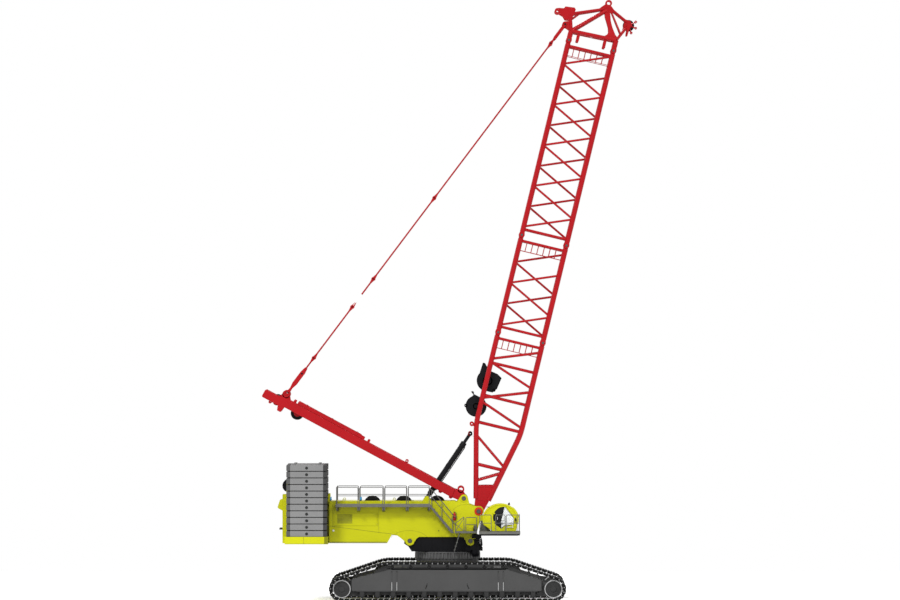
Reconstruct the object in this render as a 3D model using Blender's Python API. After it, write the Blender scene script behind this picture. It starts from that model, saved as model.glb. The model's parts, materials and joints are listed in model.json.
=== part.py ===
"""Crawler crane: crawlers, slewing superstructure with stacked counterweight, lattice boom,
derricking mast, main stays, backstops and hoist winches.

Metres, +Z up.  The origin is where the slewing axis meets the ground, +X points to the front,
where the boom leans, and +Y to the operator's left.
"""

import math

import bmesh
import bpy
from mathutils import Vector

# ---------------------------------------------------------------- fits and facets
GAP = 0.0003                # between pieces that rest on each other
RUN = 0.006                 # between pieces that move past each other
DOOR_PLAY = 0.010           # round the doors
HINGE_RADIUS = 0.02
HINGE_REACH = 0.14          # from the hinge's axis to the end of its leaf
ROUND = 16                  # sides of drums and wheels
PIN_SIDES = 10              # sides of the pins and of their bores
RING_SIDES = 24
CHORD_SIDES = 6
LACING_SIDES = 4
TIE_SIDES = 8               # cross bars that carry the boom winches

# ---------------------------------------------------------------- crawlers
TRACK_GAUGE = 8.80          # between the middles of the two tracks
WHEEL_BASE = 12.60          # between the axles of one crawler
SHOE_WIDTH = 1.50
SHOE_PITCH = 0.335
SHOE_GROOVE = 0.05          # depth of the notch between two shoes
TRACK_THICKNESS = 0.22
TRACK_END_RADIUS = 0.77     # ground to axle
TRACK_TOP = 2.42
TRACK_TOP_LENGTH = 7.64     # level stretch on top
WHEEL_RADIUS = 0.53
WHEEL_HUB_RADIUS = 0.24
WHEEL_WIDTH = 0.90
AXLE_RADIUS = 0.15
TONGUE_WIDTH = 0.30         # arm of the frame between the two wheel discs
CRAWLER_FRAME_WIDTH = 1.00
CRAWLER_FRAME_BOTTOM = 0.64
CRAWLER_FRAME_TOP = 1.96
CRAWLER_FRAME_END_TOP = 1.40
CRAWLER_FRAME_LENGTH = 11.20
CRAWLER_TOP_LENGTH = 6.90
ROLLER_RADIUS = 0.17
ROLLER_COUNT = 10
ROLLER_WIDTH = 0.84

# ---------------------------------------------------------------- car body and slewing ring
CARBODY_WIDTH = 3.90
CARBODY_BOTTOM = 0.95
CARBODY_TOP = 2.20
CROSS_BEAM_X = 3.15
CROSS_BEAM_WIDTH = 0.80
RING_RADIUS = 1.97
RING_BORE = 1.50
RING_BOTTOM = 2.47
RING_TOP = 2.90

# ---------------------------------------------------------------- superstructure
FRAME_HALF_WIDTH = 1.70     # outside of the side panels
PANEL = 0.12                # thickness of the side panels and of their doors
SKIN = 0.08                 # roof, floor and bulkheads
FRAME_REAR = -7.08
FRAME_TOP = 5.95
FRAME_REAR_BOTTOM = 3.43
FRAME_BOTTOM = 3.80
EAR_RADIUS = 0.29
EAR_PIN_RADIUS = 0.13
REAR_EAR_X = -2.26
FRONT_EAR_X = 1.37
EAR_Z = 3.56
TURNTABLE_BOTTOM = 2.93
TURNTABLE_FRONT = 1.93
TURNTABLE_REAR = -2.15
SLEW_DRIVE_RADIUS = 0.27
FORK_INNER = 1.10           # inboard face of the inner fork plates
LUG_HALF_WIDTH = 0.10       # half thickness of the boom and mast foot lugs
ENGINE_SIZE = (1.90, 1.90, 1.45)
ENGINE_X = -6.00
DOOR_REAR = -6.80
DOOR_FRONT = -4.20
DOOR_BOTTOM = 4.46
DOOR_TOP = 5.24

# ---------------------------------------------------------------- hoist winches
DRUM_X = (-4.51, -2.62, -0.64)
DRUM_Z = 5.72
DRUM_FLANGE_RADIUS = 0.52
DRUM_CORE_RADIUS = 0.38
DRUM_HALF_LENGTH = 0.68
DRUM_SHAFT_RADIUS = 0.10
BEARING_WIDTH = 0.08

# ---------------------------------------------------------------- tail and counterweight
TAIL_HALF_WIDTH = 1.00
TAIL_REAR = -9.89
TAIL_POST = 0.27
TAIL_TOP = 6.32
TRAY_REAR = -9.72
TRAY_FRONT = -7.13
TRAY_BOTTOM = 3.41
TRAY_TOP = 3.85
LUFFING_WINCH = (-9.50, 6.85)
LUFFING_WINCH_RADIUS = 0.40
LUFFING_HALF_LENGTH = 0.78
LUFFING_CORE_RADIUS = 0.28
LUFFING_SHAFT_RADIUS = 0.08
LUFFING_CHEEK = 0.10
SLAB_COUNT = 11
SLAB_PITCH = 0.3927
SLAB_SLIT = 0.045
SLAB_SLIT_DEPTH = 0.06
SLAB_REAR = -9.62
SLAB_FRONT = -7.19
SLAB_WIDTH = 2.60

# ---------------------------------------------------------------- walkways, stairs, platforms
WALK_WIDTH = 0.75
WALK_TOP = 5.76
WALK_THICKNESS = 0.14
WALK_REAR = -6.70
WALK_FRONT = -1.03
RAIL_HEIGHT = 1.02
RAIL_SIZE = 0.05
WALK_POSTS = 5
STAIR_FOOT = (0.35, 4.05)
STAIR_TREADS = 7
LANDING_TOP = 4.16
LANDING_LENGTH = 1.42
LADDER_FOOT = (0.40, 2.95)
LADDER_WIDTH = 0.45

# ---------------------------------------------------------------- cab
CAB_INNER = 1.85            # distance of the cab's inboard wall from the middle
CAB_WIDTH = 1.55
CAB_WALL = 0.07
CAB_FLOOR = 4.1803
CAB_CENTRE = (3.16, 4.86)   # middle of the round part of the cab's outline
CAB_RADIUS = (1.07, 0.95)
CAB_REAR_FOOT = 2.66
CAB_FRONT_FOOT = 4.07
WINDOW_CENTRE = (3.36, 4.99)
WINDOW_RADIUS = 0.64
PLATFORM_REAR = 1.88
PLATFORM_FRONT = 4.33
PLATFORM_BOTTOM = 3.97
PLATFORM_WIDTH = 2.60

# ---------------------------------------------------------------- boom
BOOM_PIN = (1.854, 5.328)
BOOM_ANGLE = math.radians(76.4)
BOOM_HALF_WIDTH = 1.40      # chord centre lines, both sections and feet
BOOM_HALF_DEPTH = 1.375
CHORD_RADIUS = 0.15
LACING_RADIUS = 0.065
BRACE_RADIUS = 0.08
FOOT_LENGTH = 10.70
SHORT_LENGTH = 6.00
LONG_LENGTH = 12.00
END_FRAME = 0.35            # end frames stand this far from each joint
BOOM_PIN_RADIUS = 0.12
BOOM_EYE_RADIUS = 0.25
SHORT_LACING = (0.46, 1.293)   # first node from the joint, then the pitch of the nodes
LONG_LACING = (0.51, 1.2525)
LACING_RISE = 1.10
LACING_FALL = 1.40
HEAD_START = FOOT_LENGTH + SHORT_LENGTH + LONG_LENGTH
HEAD_PIVOT = (HEAD_START + 0.86, -1.82)
HEAD_EYE = (HEAD_START + 1.53, -2.45)
TOP_EYE = (HEAD_START + 2.72, 0.43)
NOSE_AXLE = (HEAD_START + 1.70, 1.90)
NOSE_SHAFT_RADIUS = 0.07
NOSE_PLATE = (0.24, 0.42)    # inner and outer face of the plates that carry the nose sheave

# ---------------------------------------------------------------- mast
MAST_PIN = (0.97, 6.10)
MAST_ANGLE = math.radians(151.7)
MAST_LENGTH = 13.55
MAST_UNDER = -0.29
MAST_OVER = 0.23
MAST_LEG_WIDTH = 0.30
MAST_PIN_RADIUS = 0.13
MAST_EYE_RADIUS = 0.22
MAST_STAY_LUG = (12.31, 0.45)
MAST_SHEAVES = ((12.62, -0.10, 0.35), (11.20, -0.25, 0.41))
SHEAVE_HALF_WIDTH = 0.45
SHEAVE_SHAFT_RADIUS = 0.07
HANGER_WIDTH = 0.06
MAST_FOOT_EYE = (0.40, 0.38, 0.12)   # along, across and radius of the hole
STORED_BAR = (6.93, 11.45)

# ---------------------------------------------------------------- stays and backstops
STAY_LUG_HALF = 0.05
STAY_PLATE = 0.04
STAY_PIN_RADIUS = 0.06
STAY_ROD_RADIUS = 0.04
STAY_BORE_RADIUS = 0.11     # open eye at the mast's lug
STAY_EYE_RADIUS = 0.185
BACKSTOP_Y = 0.90
BACKSTOP_FOOT = (-1.24, 6.11)
BACKSTOP_HEAD = (4.39, -1.57)   # on the boom: along it and across it
BARREL_RADIUS = 0.155
ROD_RADIUS = 0.09
BARREL_LENGTH = 4.00        # short enough to clear the boom's plates with the boom fully up
BACKSTOP_EYE_RADIUS = 0.13
BACKSTOP_EYE_HALF = 0.05
BACKSTOP_PIN_RADIUS = 0.06
BACKSTOP_LUG_WIDTH = 0.04

# ---------------------------------------------------------------- boom winches
UPPER_WINCH = (7.72, -1.31, 0.65)
LOWER_WINCH = (6.07, -1.62, 0.63)
WINCH_CHEEK = 0.06
WINCH_HALF_LENGTH = 1.02

COLOURS = {
    "lime_paint": ((0.52, 0.53, 0.02), 0.35, 0.0),
    "red_paint": ((0.50, 0.015, 0.02), 0.35, 0.0),
    "black_paint": ((0.012, 0.012, 0.014), 0.45, 0.0),
    "dark_grey": ((0.06, 0.06, 0.06), 0.55, 0.2),
    "frame_grey": ((0.095, 0.095, 0.095), 0.5, 0.1),
    "slab_grey": ((0.26, 0.26, 0.26), 0.7, 0.0),
    "rail_grey": ((0.30, 0.29, 0.27), 0.45, 0.5),
    "tinted": ((0.01, 0.01, 0.012), 0.1, 0.0),
    "clear_glass": ((0.75, 0.80, 0.78), 0.05, 0.0),
    "steel": ((0.35, 0.35, 0.35), 0.3, 0.9),
    "seat_cloth": ((0.03, 0.03, 0.035), 0.9, 0.0),
}


# ================================================================ scene, bodies and nodes
def clear_scene():
    for thing in list(bpy.data.objects):
        bpy.data.objects.remove(thing, do_unlink=True)


def make_materials():
    made = {}
    for name, (colour, roughness, metallic) in COLOURS.items():
        entry = bpy.data.materials.new(name)
        entry.use_nodes = True
        shader = entry.node_tree.nodes["Principled BSDF"]
        shader.inputs["Base Color"].default_value = (*colour, 1.0)
        shader.inputs["Roughness"].default_value = roughness
        shader.inputs["Metallic"].default_value = metallic
        made[name] = entry
    return made


def add_body(name, pivot=(0.0, 0.0, 0.0), parent=None):
    """An empty on the joint's axis, which carries the pieces that move with it."""
    carrier = bpy.data.objects.new("body_" + name, None)
    bpy.context.scene.collection.objects.link(carrier)
    base = Vector(parent["pivot"]) if parent else Vector((0.0, 0.0, 0.0))
    carrier["pivot"] = pivot
    carrier.parent = parent
    carrier.location = Vector(pivot) - base
    return carrier


def add_node(name, mesh, colour, carrier):
    """Names a finished solid, and moves its origin to the joint of the body that carries it."""
    pivot = Vector(carrier["pivot"])
    for vertex in mesh.vertices:
        vertex.co -= pivot
    mesh.name = name
    mesh.materials.clear()
    mesh.materials.append(MATERIALS[colour])
    mesh.shade_smooth()
    mesh.set_sharp_from_angle(angle=math.radians(32))
    thing = bpy.data.objects.new(name, mesh)
    thing.parent = carrier
    bpy.context.scene.collection.objects.link(thing)
    return thing


# ================================================================ solids
def finish_mesh(shape):
    bmesh.ops.recalc_face_normals(shape, faces=shape.faces)
    mesh = bpy.data.meshes.new("solid")
    shape.to_mesh(mesh)
    shape.free()
    return mesh


def prism(outline, low, high, place=lambda a, b, c: (a, c, b)):
    """An outline of (a, b) points given a thickness from low to high; by default X-Z along Y."""
    shape = bmesh.new()
    near = [shape.verts.new(place(a, b, low)) for a, b in outline]
    far = [shape.verts.new(place(a, b, high)) for a, b in outline]
    shape.faces.new(near)
    shape.faces.new(far)
    for i in range(len(outline)):
        j = (i + 1) % len(outline)
        shape.faces.new((near[i], near[j], far[j], far[i]))
    return finish_mesh(shape)


def box(x, y, z):
    low, high = sorted(y)
    return prism([(x[0], z[0]), (x[1], z[0]), (x[1], z[1]), (x[0], z[1])], low, high)


def stack(layers):
    """Level rectangles (x0, x1, y0, y1, z) joined from the lowest to the highest."""
    shape = bmesh.new()
    rings = [
        [shape.verts.new(p) for p in ((a, c, z), (b, c, z), (b, d, z), (a, d, z))]
        for a, b, c, d, z in layers
    ]
    shape.faces.new(rings[0])
    shape.faces.new(rings[-1])
    for lower, upper in zip(rings, rings[1:]):
        for i in range(4):
            j = (i + 1) % 4
            shape.faces.new((lower[i], lower[j], upper[j], upper[i]))
    return finish_mesh(shape)


def lathe(profile, place, sides=ROUND, phase=0.5):
    """Turns (along, radius) points about an axis; place(along, a, b) gives the point in space."""
    shape = bmesh.new()
    rings = []
    for along, radius in profile:
        ring = []
        for k in range(sides):
            turn = 2 * math.pi * (k + phase) / sides
            spot = place(along, radius * math.cos(turn), radius * math.sin(turn))
            ring.append(shape.verts.new(spot))
        rings.append(ring)
    open_bore = profile[0][0] == profile[-1][0]
    pairs = list(zip(rings, rings[1:]))
    if not open_bore:
        shape.faces.new(rings[0])
        shape.faces.new(rings[-1])
    else:
        pairs[-1] = (rings[-2], rings[0])
        for vertex in rings[-1]:
            shape.verts.remove(vertex)
    for first, second in pairs:
        for i in range(sides):
            j = (i + 1) % sides
            shape.faces.new((first[i], first[j], second[j], second[i]))
    return finish_mesh(shape)


def across(x, z, y=0.0):
    """Places a turned shape on an axis along Y through (x, z)."""
    return lambda along, a, b: (x + a, y + along, z + b)


def upright(x, y):
    """Places a turned shape on a vertical axis."""
    return lambda along, a, b: (x + a, y + b, along)


def disc(x, z, radius, y, sides=ROUND, phase=0.5):
    """A round bar along Y."""
    low, high = sorted(y)
    return lathe([(low, radius), (high, radius)], across(x, z), sides, phase)


def pin(x, z, radius, y):
    """A pin along Y.  Its corners point at the flats of its bore, which they clear by GAP."""
    return disc(x, z, radius, y, PIN_SIDES, phase=0.0)


def pin_bore(x, z, radius, y):
    """A cutter for the hole in which a pin of this radius turns freely."""
    return disc(x, z, bore_radius(radius, PIN_SIDES), y, PIN_SIDES)


def tube(start, end, radius, sides=LACING_SIDES):
    """A straight round bar between two points."""
    start, end = Vector(start), Vector(end)
    along = (end - start).normalized()
    guide = Vector((1, 0, 0)) if abs(along.y) > 0.9 else Vector((0, 1, 0))
    side = along.cross(guide).normalized()
    lift = side.cross(along)
    length = (end - start).length
    return lathe(
        [(0.0, radius), (length, radius)],
        lambda t, a, b: start + along * t + side * a + lift * b,
        sides,
    )


def arc(centre, radius, first, last, steps):
    """Points on a circle or an ellipse, from one angle to another in degrees."""
    wide, tall = radius if isinstance(radius, tuple) else (radius, radius)
    points = []
    for k in range(steps + 1):
        turn = math.radians(first + (last - first) * k / steps)
        points.append((centre[0] + wide * math.cos(turn), centre[1] + tall * math.sin(turn)))
    return points


def bore_radius(shaft_radius, sides=ROUND):
    """Radius of a faceted hole in which a faceted shaft of as many sides turns freely."""
    return (shaft_radius + GAP) / math.cos(math.pi / sides)


def bent_tube(points, radius, sides):
    """A round bar along a path that bends within a plane of constant y, mitred at its bends."""
    places = [Vector(point) for point in points]
    legs = [(b - a).normalized() for a, b in zip(places, places[1:])]
    shape = bmesh.new()
    rings = []
    for k, place in enumerate(places):
        before, after = legs[max(k - 1, 0)], legs[min(k, len(legs) - 1)]
        along = (before + after).normalized()
        lift = Vector((0, 1, 0)).cross(along) / along.dot(after)
        ring = []
        for corner in range(sides):
            turn = 2 * math.pi * (corner + 0.5) / sides
            offset = Vector((0, radius * math.cos(turn), 0)) + lift * (radius * math.sin(turn))
            ring.append(shape.verts.new(place + offset))
        rings.append(ring)
    shape.faces.new(rings[0])
    shape.faces.new(rings[-1])
    for first, second in zip(rings, rings[1:]):
        for i in range(sides):
            j = (i + 1) % sides
            shape.faces.new((first[i], first[j], second[j], second[i]))
    return finish_mesh(shape)


def combine(first, others, operation):
    """One closed mesh from several, by an exact Boolean."""
    scene = bpy.context.scene
    operands = bpy.data.collections.new("operands")
    scene.collection.children.link(operands)
    base = bpy.data.objects.new("base", first)
    scene.collection.objects.link(base)
    helpers = [bpy.data.objects.new("operand", mesh) for mesh in others]
    for helper in helpers:
        helper.hide_render = True
        helper.display_type = "WIRE"
        operands.objects.link(helper)
    modifier = base.modifiers.new("combine", "BOOLEAN")
    modifier.operation = operation
    modifier.solver = "EXACT"
    modifier.operand_type = "COLLECTION"
    modifier.collection = operands
    graph = bpy.context.evaluated_depsgraph_get()
    result = bpy.data.meshes.new_from_object(base.evaluated_get(graph))
    for helper in [base, *helpers]:
        bpy.data.objects.remove(helper, do_unlink=True)
    bpy.data.collections.remove(operands)
    return result


def fuse(solids):
    return combine(solids[0], solids[1:], "UNION")


def carve(solid, cutters):
    return combine(solid, cutters, "DIFFERENCE")


class Frame:
    """Local axes of the boom or the mast in the X-Z plane: along it, and across it."""

    def __init__(self, origin, angle):
        self.origin = origin
        self.cos, self.sin = math.cos(angle), math.sin(angle)

    def flat(self, u, v):
        return (
            self.origin[0] + u * self.cos + v * self.sin,
            self.origin[1] + u * self.sin - v * self.cos,
        )

    def at(self, u, v, y):
        x, z = self.flat(u, v)
        return (x, y, z)

    def outline(self, points):
        return [self.flat(u, v) for u, v in points]

    def plate(self, points, y):
        low, high = sorted(y)
        return prism(self.outline(points), low, high)

    def disc(self, u, v, radius, y, sides=ROUND):
        x, z = self.flat(u, v)
        return disc(x, z, radius, y, sides)


BOOM = Frame(BOOM_PIN, BOOM_ANGLE)
MAST = Frame(MAST_PIN, MAST_ANGLE)


def hinges(x, face, outward, reach, levels):
    """Knuckles on a wall's outside, at y = face, with leaves that reach along X onto the door."""
    leaf_y = (face + outward * GAP, face + outward * (GAP + 0.012))
    pieces = []
    for z in levels:
        barrel = [(z - 0.06, HINGE_RADIUS), (z + 0.06, HINGE_RADIUS)]
        place = upright(x, face + outward * (GAP + HINGE_RADIUS))
        pieces.append(lathe(barrel, place, 8))
        leaf_x = sorted((x, x + reach))
        pieces.append(box(leaf_x, leaf_y, (z - 0.05, z + 0.05)))
        root_x = sorted((x + reach * 0.75, x + reach * 0.98))
        pieces.append(box(root_x, (face - outward * 0.01, leaf_y[1] - outward * 0.002), (z - 0.04, z + 0.04)))
    return pieces


# ================================================================ crawlers
def track_loop(inset):
    """Corners of the track's closed path, set in from its outside: ends are arcs, sides straight."""
    axle = WHEEL_BASE / 2
    radius = TRACK_END_RADIUS - inset
    corner = (TRACK_TOP_LENGTH / 2, TRACK_TOP - inset)
    reach = math.hypot(axle - corner[0], TRACK_END_RADIUS - corner[1])
    down = math.atan2(TRACK_END_RADIUS - corner[1], axle - corner[0])
    slope = down + math.asin(radius / reach)
    tangent = math.degrees(slope) + 90
    end = arc((axle, TRACK_END_RADIUS), radius, -90, tangent, 10)
    right = end + [corner]
    return right + [(-x, z) for x, z in reversed(right)]


def spaced(corners, count):
    """Points at equal distances along a closed path, as (point, inward direction)."""
    closed = corners + corners[:1]
    lengths = [math.dist(a, b) for a, b in zip(closed, closed[1:])]
    total = sum(lengths)
    found = []
    leg, passed = 0, 0.0
    for k in range(count):
        wanted = total * k / count
        while passed + lengths[leg] < wanted:
            passed += lengths[leg]
            leg += 1
        a, b = closed[leg], closed[leg + 1]
        t = (wanted - passed) / lengths[leg]
        inward = ((a[1] - b[1]) / lengths[leg], (b[0] - a[0]) / lengths[leg])
        found.append(((a[0] + t * (b[0] - a[0]), a[1] + t * (b[1] - a[1])), inward))
    return found


def track(side):
    """One closed band with a notch between every two shoes."""
    outer = track_loop(0.0)
    length = sum(math.dist(a, b) for a, b in zip(outer, outer[1:] + outer[:1]))
    shoes = round(length / SHOE_PITCH)
    notch = 3                       # points for each shoe: two corners and the notch between
    outline = []
    for k, (point, inward) in enumerate(spaced(outer, shoes * notch)):
        depth = SHOE_GROOVE if k % notch == 0 else 0.0
        outline.append((point[0] + depth * inward[0], point[1] + depth * inward[1]))
    middle = side * TRACK_GAUGE / 2
    span = (middle - SHOE_WIDTH / 2, middle + SHOE_WIDTH / 2)
    band = prism(outline, *span)
    return carve(band, [prism(track_loop(TRACK_THICKNESS), span[0] - 1, span[1] + 1)])


def crawler_frame(side):
    """Box frame with an arm for each axle, its lower rollers and its carrier skids."""
    middle = side * TRACK_GAUGE / 2
    half = CRAWLER_FRAME_WIDTH / 2
    end, top = CRAWLER_FRAME_LENGTH / 2, CRAWLER_TOP_LENGTH / 2
    axle = WHEEL_BASE / 2
    outline = [
        (-end, CRAWLER_FRAME_BOTTOM), (end, CRAWLER_FRAME_BOTTOM), (end, CRAWLER_FRAME_END_TOP),
        (top, CRAWLER_FRAME_TOP), (-top, CRAWLER_FRAME_TOP), (-end, CRAWLER_FRAME_END_TOP),
    ]
    track_floor = TRACK_THICKNESS + GAP
    roller_z = track_floor + ROLLER_RADIUS
    tongue = (middle - TONGUE_WIDTH / 2, middle + TONGUE_WIDTH / 2)
    pieces = [prism(outline, middle - half, middle + half)]
    for way in (-1, 1):
        arm = [(end - 0.4, CRAWLER_FRAME_BOTTOM + 0.02), (end - 0.4, CRAWLER_FRAME_END_TOP - 0.1)]
        nose = arc((axle, TRACK_END_RADIUS), 0.30, 60, -60, 4)
        pieces.append(prism([(way * x, z) for x, z in arm + nose], *tongue))
    pieces.append(box((-end + 0.3, end - 0.3), tongue, (roller_z, CRAWLER_FRAME_BOTTOM + 0.1)))
    for k in range(ROLLER_COUNT):
        x = (k - (ROLLER_COUNT - 1) / 2) * (CRAWLER_FRAME_LENGTH - 1.0) / (ROLLER_COUNT - 1)
        span = (middle - ROLLER_WIDTH / 2, middle + ROLLER_WIDTH / 2)
        pieces.append(
            lathe([(span[0], ROLLER_RADIUS), (span[1], ROLLER_RADIUS)], across(x, roller_z), 8)
        )
    for x in (-3.0, 0.0, 3.0):
        skid = (CRAWLER_FRAME_TOP - 0.1, TRACK_TOP - TRACK_THICKNESS - GAP)
        pieces.append(box((x - 0.3, x + 0.3), (middle - 0.3, middle + 0.3), skid))
    bores = [
        disc(way * axle, TRACK_END_RADIUS, bore_radius(AXLE_RADIUS), (tongue[0] - 1, tongue[1] + 1))
        for way in (-1, 1)
    ]
    return carve(fuse(pieces), bores)


def crawler_wheel(side, way):
    """Twin discs on one axle, which turns in the frame's arm."""
    half, inner = WHEEL_WIDTH / 2, TONGUE_WIDTH / 2 + RUN
    profile = [
        (-half, WHEEL_HUB_RADIUS), (-half + 0.05, WHEEL_RADIUS), (-inner, WHEEL_RADIUS),
        (-inner, AXLE_RADIUS), (inner, AXLE_RADIUS), (inner, WHEEL_RADIUS),
        (half - 0.05, WHEEL_RADIUS), (half, WHEEL_HUB_RADIUS),
    ]
    place = across(way * WHEEL_BASE / 2, TRACK_END_RADIUS, side * TRACK_GAUGE / 2)
    return lathe(profile, place, phase=0.0)


def carbody():
    """H frame between the crawlers, with the seat of the slewing ring."""
    inner = TRACK_GAUGE / 2 - CRAWLER_FRAME_WIDTH / 2 - GAP
    half = CARBODY_WIDTH / 2
    reach = CROSS_BEAM_X + CROSS_BEAM_WIDTH / 2
    pieces = [box((-reach, reach), (-half, half), (CARBODY_BOTTOM, CARBODY_TOP))]
    for way in (-1, 1):
        for side in (-1, 1):
            span = (way * CROSS_BEAM_X - CROSS_BEAM_WIDTH / 2, way * CROSS_BEAM_X + CROSS_BEAM_WIDTH / 2)
            beam = [(side * (half - 0.2), CARBODY_BOTTOM), (side * inner, CARBODY_BOTTOM),
                    (side * inner, CRAWLER_FRAME_TOP - 0.11), (side * (half - 0.2), CARBODY_TOP - 0.05)]
            pieces.append(prism(beam, span[0], span[1], lambda a, b, c: (c, a, b)))
    seat = [(CARBODY_TOP - 0.1, RING_RADIUS - 0.1), (RING_BOTTOM - GAP, RING_RADIUS - 0.1)]
    pieces.append(lathe(seat, upright(0, 0), RING_SIDES))
    shaft = [(CARBODY_BOTTOM - 1, RING_BORE - 0.1), (RING_BOTTOM + 1, RING_BORE - 0.1)]
    return carve(fuse(pieces), [lathe(shaft, upright(0, 0), RING_SIDES)])


def slewing_ring():
    top = RING_TOP
    waist = RING_BOTTOM + 0.2
    profile = [
        (RING_BOTTOM, RING_BORE), (RING_BOTTOM, RING_RADIUS - 0.08), (waist, RING_RADIUS),
        (top, RING_RADIUS), (top, RING_BORE), (RING_BOTTOM, RING_BORE),
    ]
    return lathe(profile, upright(0, 0), RING_SIDES)


# ================================================================ superstructure
def frame_outline():
    """Side outline of the upper frame: rear box, two ears below and the nose at the boom foot."""
    return [
        (FRAME_REAR, FRAME_REAR_BOTTOM), (-3.62, FRAME_REAR_BOTTOM), (-3.34, 3.92),
        (-3.00, 3.88), (-2.74, 3.68),
        *arc((REAR_EAR_X, EAR_Z), EAR_RADIUS, 190, 350, 6),
        (-1.86, 3.70), (-1.72, FRAME_BOTTOM), (FRONT_EAR_X - 0.44, FRAME_BOTTOM),
        *arc((FRONT_EAR_X, EAR_Z), EAR_RADIUS, 180, 360, 6),
        (1.76, 4.10), (2.00, 4.98),
        *arc(BOOM_PIN, 0.31, -15, 60, 3),
        (1.57, 5.66), (MAST_PIN[0] + 0.34, 5.75),
        *arc(MAST_PIN, 0.24, 20, 160, 4),
        (MAST_PIN[0] - 0.42, 5.89), (0.40, FRAME_TOP),
        (FRAME_REAR, FRAME_TOP),
    ]


def upper_frame():
    """Hollow frame: side panels, roof with winch wells, floor, fork plates for boom and mast."""
    half = FRAME_HALF_WIDTH
    fork_low = BOOM_HALF_WIDTH - LUG_HALF_WIDTH - RUN
    fork_high = BOOM_HALF_WIDTH + LUG_HALF_WIDTH + RUN
    body = prism(frame_outline(), -half, half)
    hollow = half - PANEL
    cavity_top = FRAME_TOP - SKIN
    cutters = [
        box((FRAME_REAR + SKIN, -3.72), (-hollow, hollow), (FRAME_REAR_BOTTOM + SKIN, cavity_top)),
        box((-3.80, 0.10), (-hollow, hollow), (FRAME_BOTTOM + 0.25, cavity_top)),
        # between the two fork pairs, under and ahead of the boom pins
        box((0.22, 3.0), (-FORK_INNER, FORK_INNER), (FRAME_BOTTOM + 0.30, FRAME_TOP + 1)),
        # below the middle of the frame only the side panels reach down as ears
        box((-3.60, 3.0), (-hollow, hollow), (EAR_Z - 1, FRAME_BOTTOM)),
    ]
    for x in DRUM_X:
        well = DRUM_FLANGE_RADIUS + 0.06
        cutters.append(box((x - well, x + well), (-DRUM_HALF_LENGTH - 0.04, DRUM_HALF_LENGTH + 0.04),
                           (FRAME_TOP - 0.5, FRAME_TOP + 0.5)))
    for side in (-1, 1):
        cutters.append(box((-0.05, 3.0), (side * fork_low, side * fork_high), (4.80, FRAME_TOP + 1)))
        door_span = (side * (hollow - 0.05), side * (half + 0.05))
        cutters.append(box((DOOR_REAR, DOOR_FRONT), door_span, (DOOR_BOTTOM, DOOR_TOP)))
        for x in (REAR_EAR_X, FRONT_EAR_X):
            cutters.append(pin_bore(x, EAR_Z, EAR_PIN_RADIUS, (side * 1.2, side * 2.0)))
    body = carve(body, cutters)
    additions = []
    for side in (-1, 1):
        # the pins of boom and mast span the fork from its inner to its outer plate
        for (x, z), radius in ((BOOM_PIN, BOOM_PIN_RADIUS), (MAST_PIN, MAST_PIN_RADIUS)):
            additions.append(pin(x, z, radius, (side * (FORK_INNER - 0.02), side * (half + 0.05))))
        # backstop feet stand on the roof
        for y in (BACKSTOP_Y - BACKSTOP_EYE_HALF - RUN, BACKSTOP_Y + BACKSTOP_EYE_HALF + RUN):
            outward = 1 if y > BACKSTOP_Y else -1
            x, z = BACKSTOP_FOOT
            lug = [(x - 0.28, FRAME_TOP - 0.04), (x + 0.28, FRAME_TOP - 0.04),
                   *arc((x, z), 0.14, 10, 170, 3)]
            low, high = sorted((side * y, side * (y + outward * BACKSTOP_LUG_WIDTH)))
            additions.append(prism(lug, low, high))
        x, z = BACKSTOP_FOOT
        pin_reach = BACKSTOP_EYE_HALF + RUN + 0.03
        span = (side * (BACKSTOP_Y - pin_reach), side * (BACKSTOP_Y + pin_reach))
        additions.append(pin(x, z, BACKSTOP_PIN_RADIUS, span))
        # bearing blocks of the hoist drums hang under the roof
        for x in DRUM_X:
            inner = DRUM_HALF_LENGTH + RUN
            block = box((x - 0.22, x + 0.22), (side * inner, side * (inner + BEARING_WIDTH)),
                        (DRUM_Z - 0.25, FRAME_TOP - 0.02))
            journal = disc(x, DRUM_Z, bore_radius(DRUM_SHAFT_RADIUS), (side * 0.5, side * 1.0))
            additions.append(carve(block, [journal]))
    return fuse([body, *additions])


def turntable_frame():
    """Heavy box on the slewing ring, with the pins that carry the upper frame."""
    half = FRAME_HALF_WIDTH - PANEL - GAP
    top = FRAME_BOTTOM - GAP
    outline = [
        (TURNTABLE_REAR, TURNTABLE_BOTTOM), (TURNTABLE_FRONT, TURNTABLE_BOTTOM),
        (TURNTABLE_FRONT, top), (REAR_EAR_X - 0.30, top), (REAR_EAR_X - 0.34, 3.40),
        (REAR_EAR_X - 0.08, 3.22),
    ]
    ring_seat = [(RING_TOP + GAP, RING_RADIUS - 0.12), (TURNTABLE_BOTTOM + 0.1, RING_RADIUS - 0.12)]
    pieces = [prism(outline, -half, half), lathe(ring_seat, upright(0, 0), RING_SIDES)]
    for side in (-1, 1):
        for x in (REAR_EAR_X, FRONT_EAR_X):
            span = (side * (half - 0.2), side * (FRAME_HALF_WIDTH + 0.03))
            pieces.append(pin(x, EAR_Z, EAR_PIN_RADIUS, span))
        pieces.append(box((1.36, TURNTABLE_FRONT), (side * (half - 0.3), side * 1.80), (3.02, 3.24)))
        drive = [(2.62, 0.18), (2.80, SLEW_DRIVE_RADIUS), (3.22, SLEW_DRIVE_RADIUS)]
        pieces.append(lathe(drive, upright(1.66, side * 1.56), 10))
    well = [(RING_TOP - 1, 1.30), (FRAME_BOTTOM - 0.10, 1.30)]
    return carve(fuse(pieces), [lathe(well, upright(0, 0), RING_SIDES)])


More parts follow.
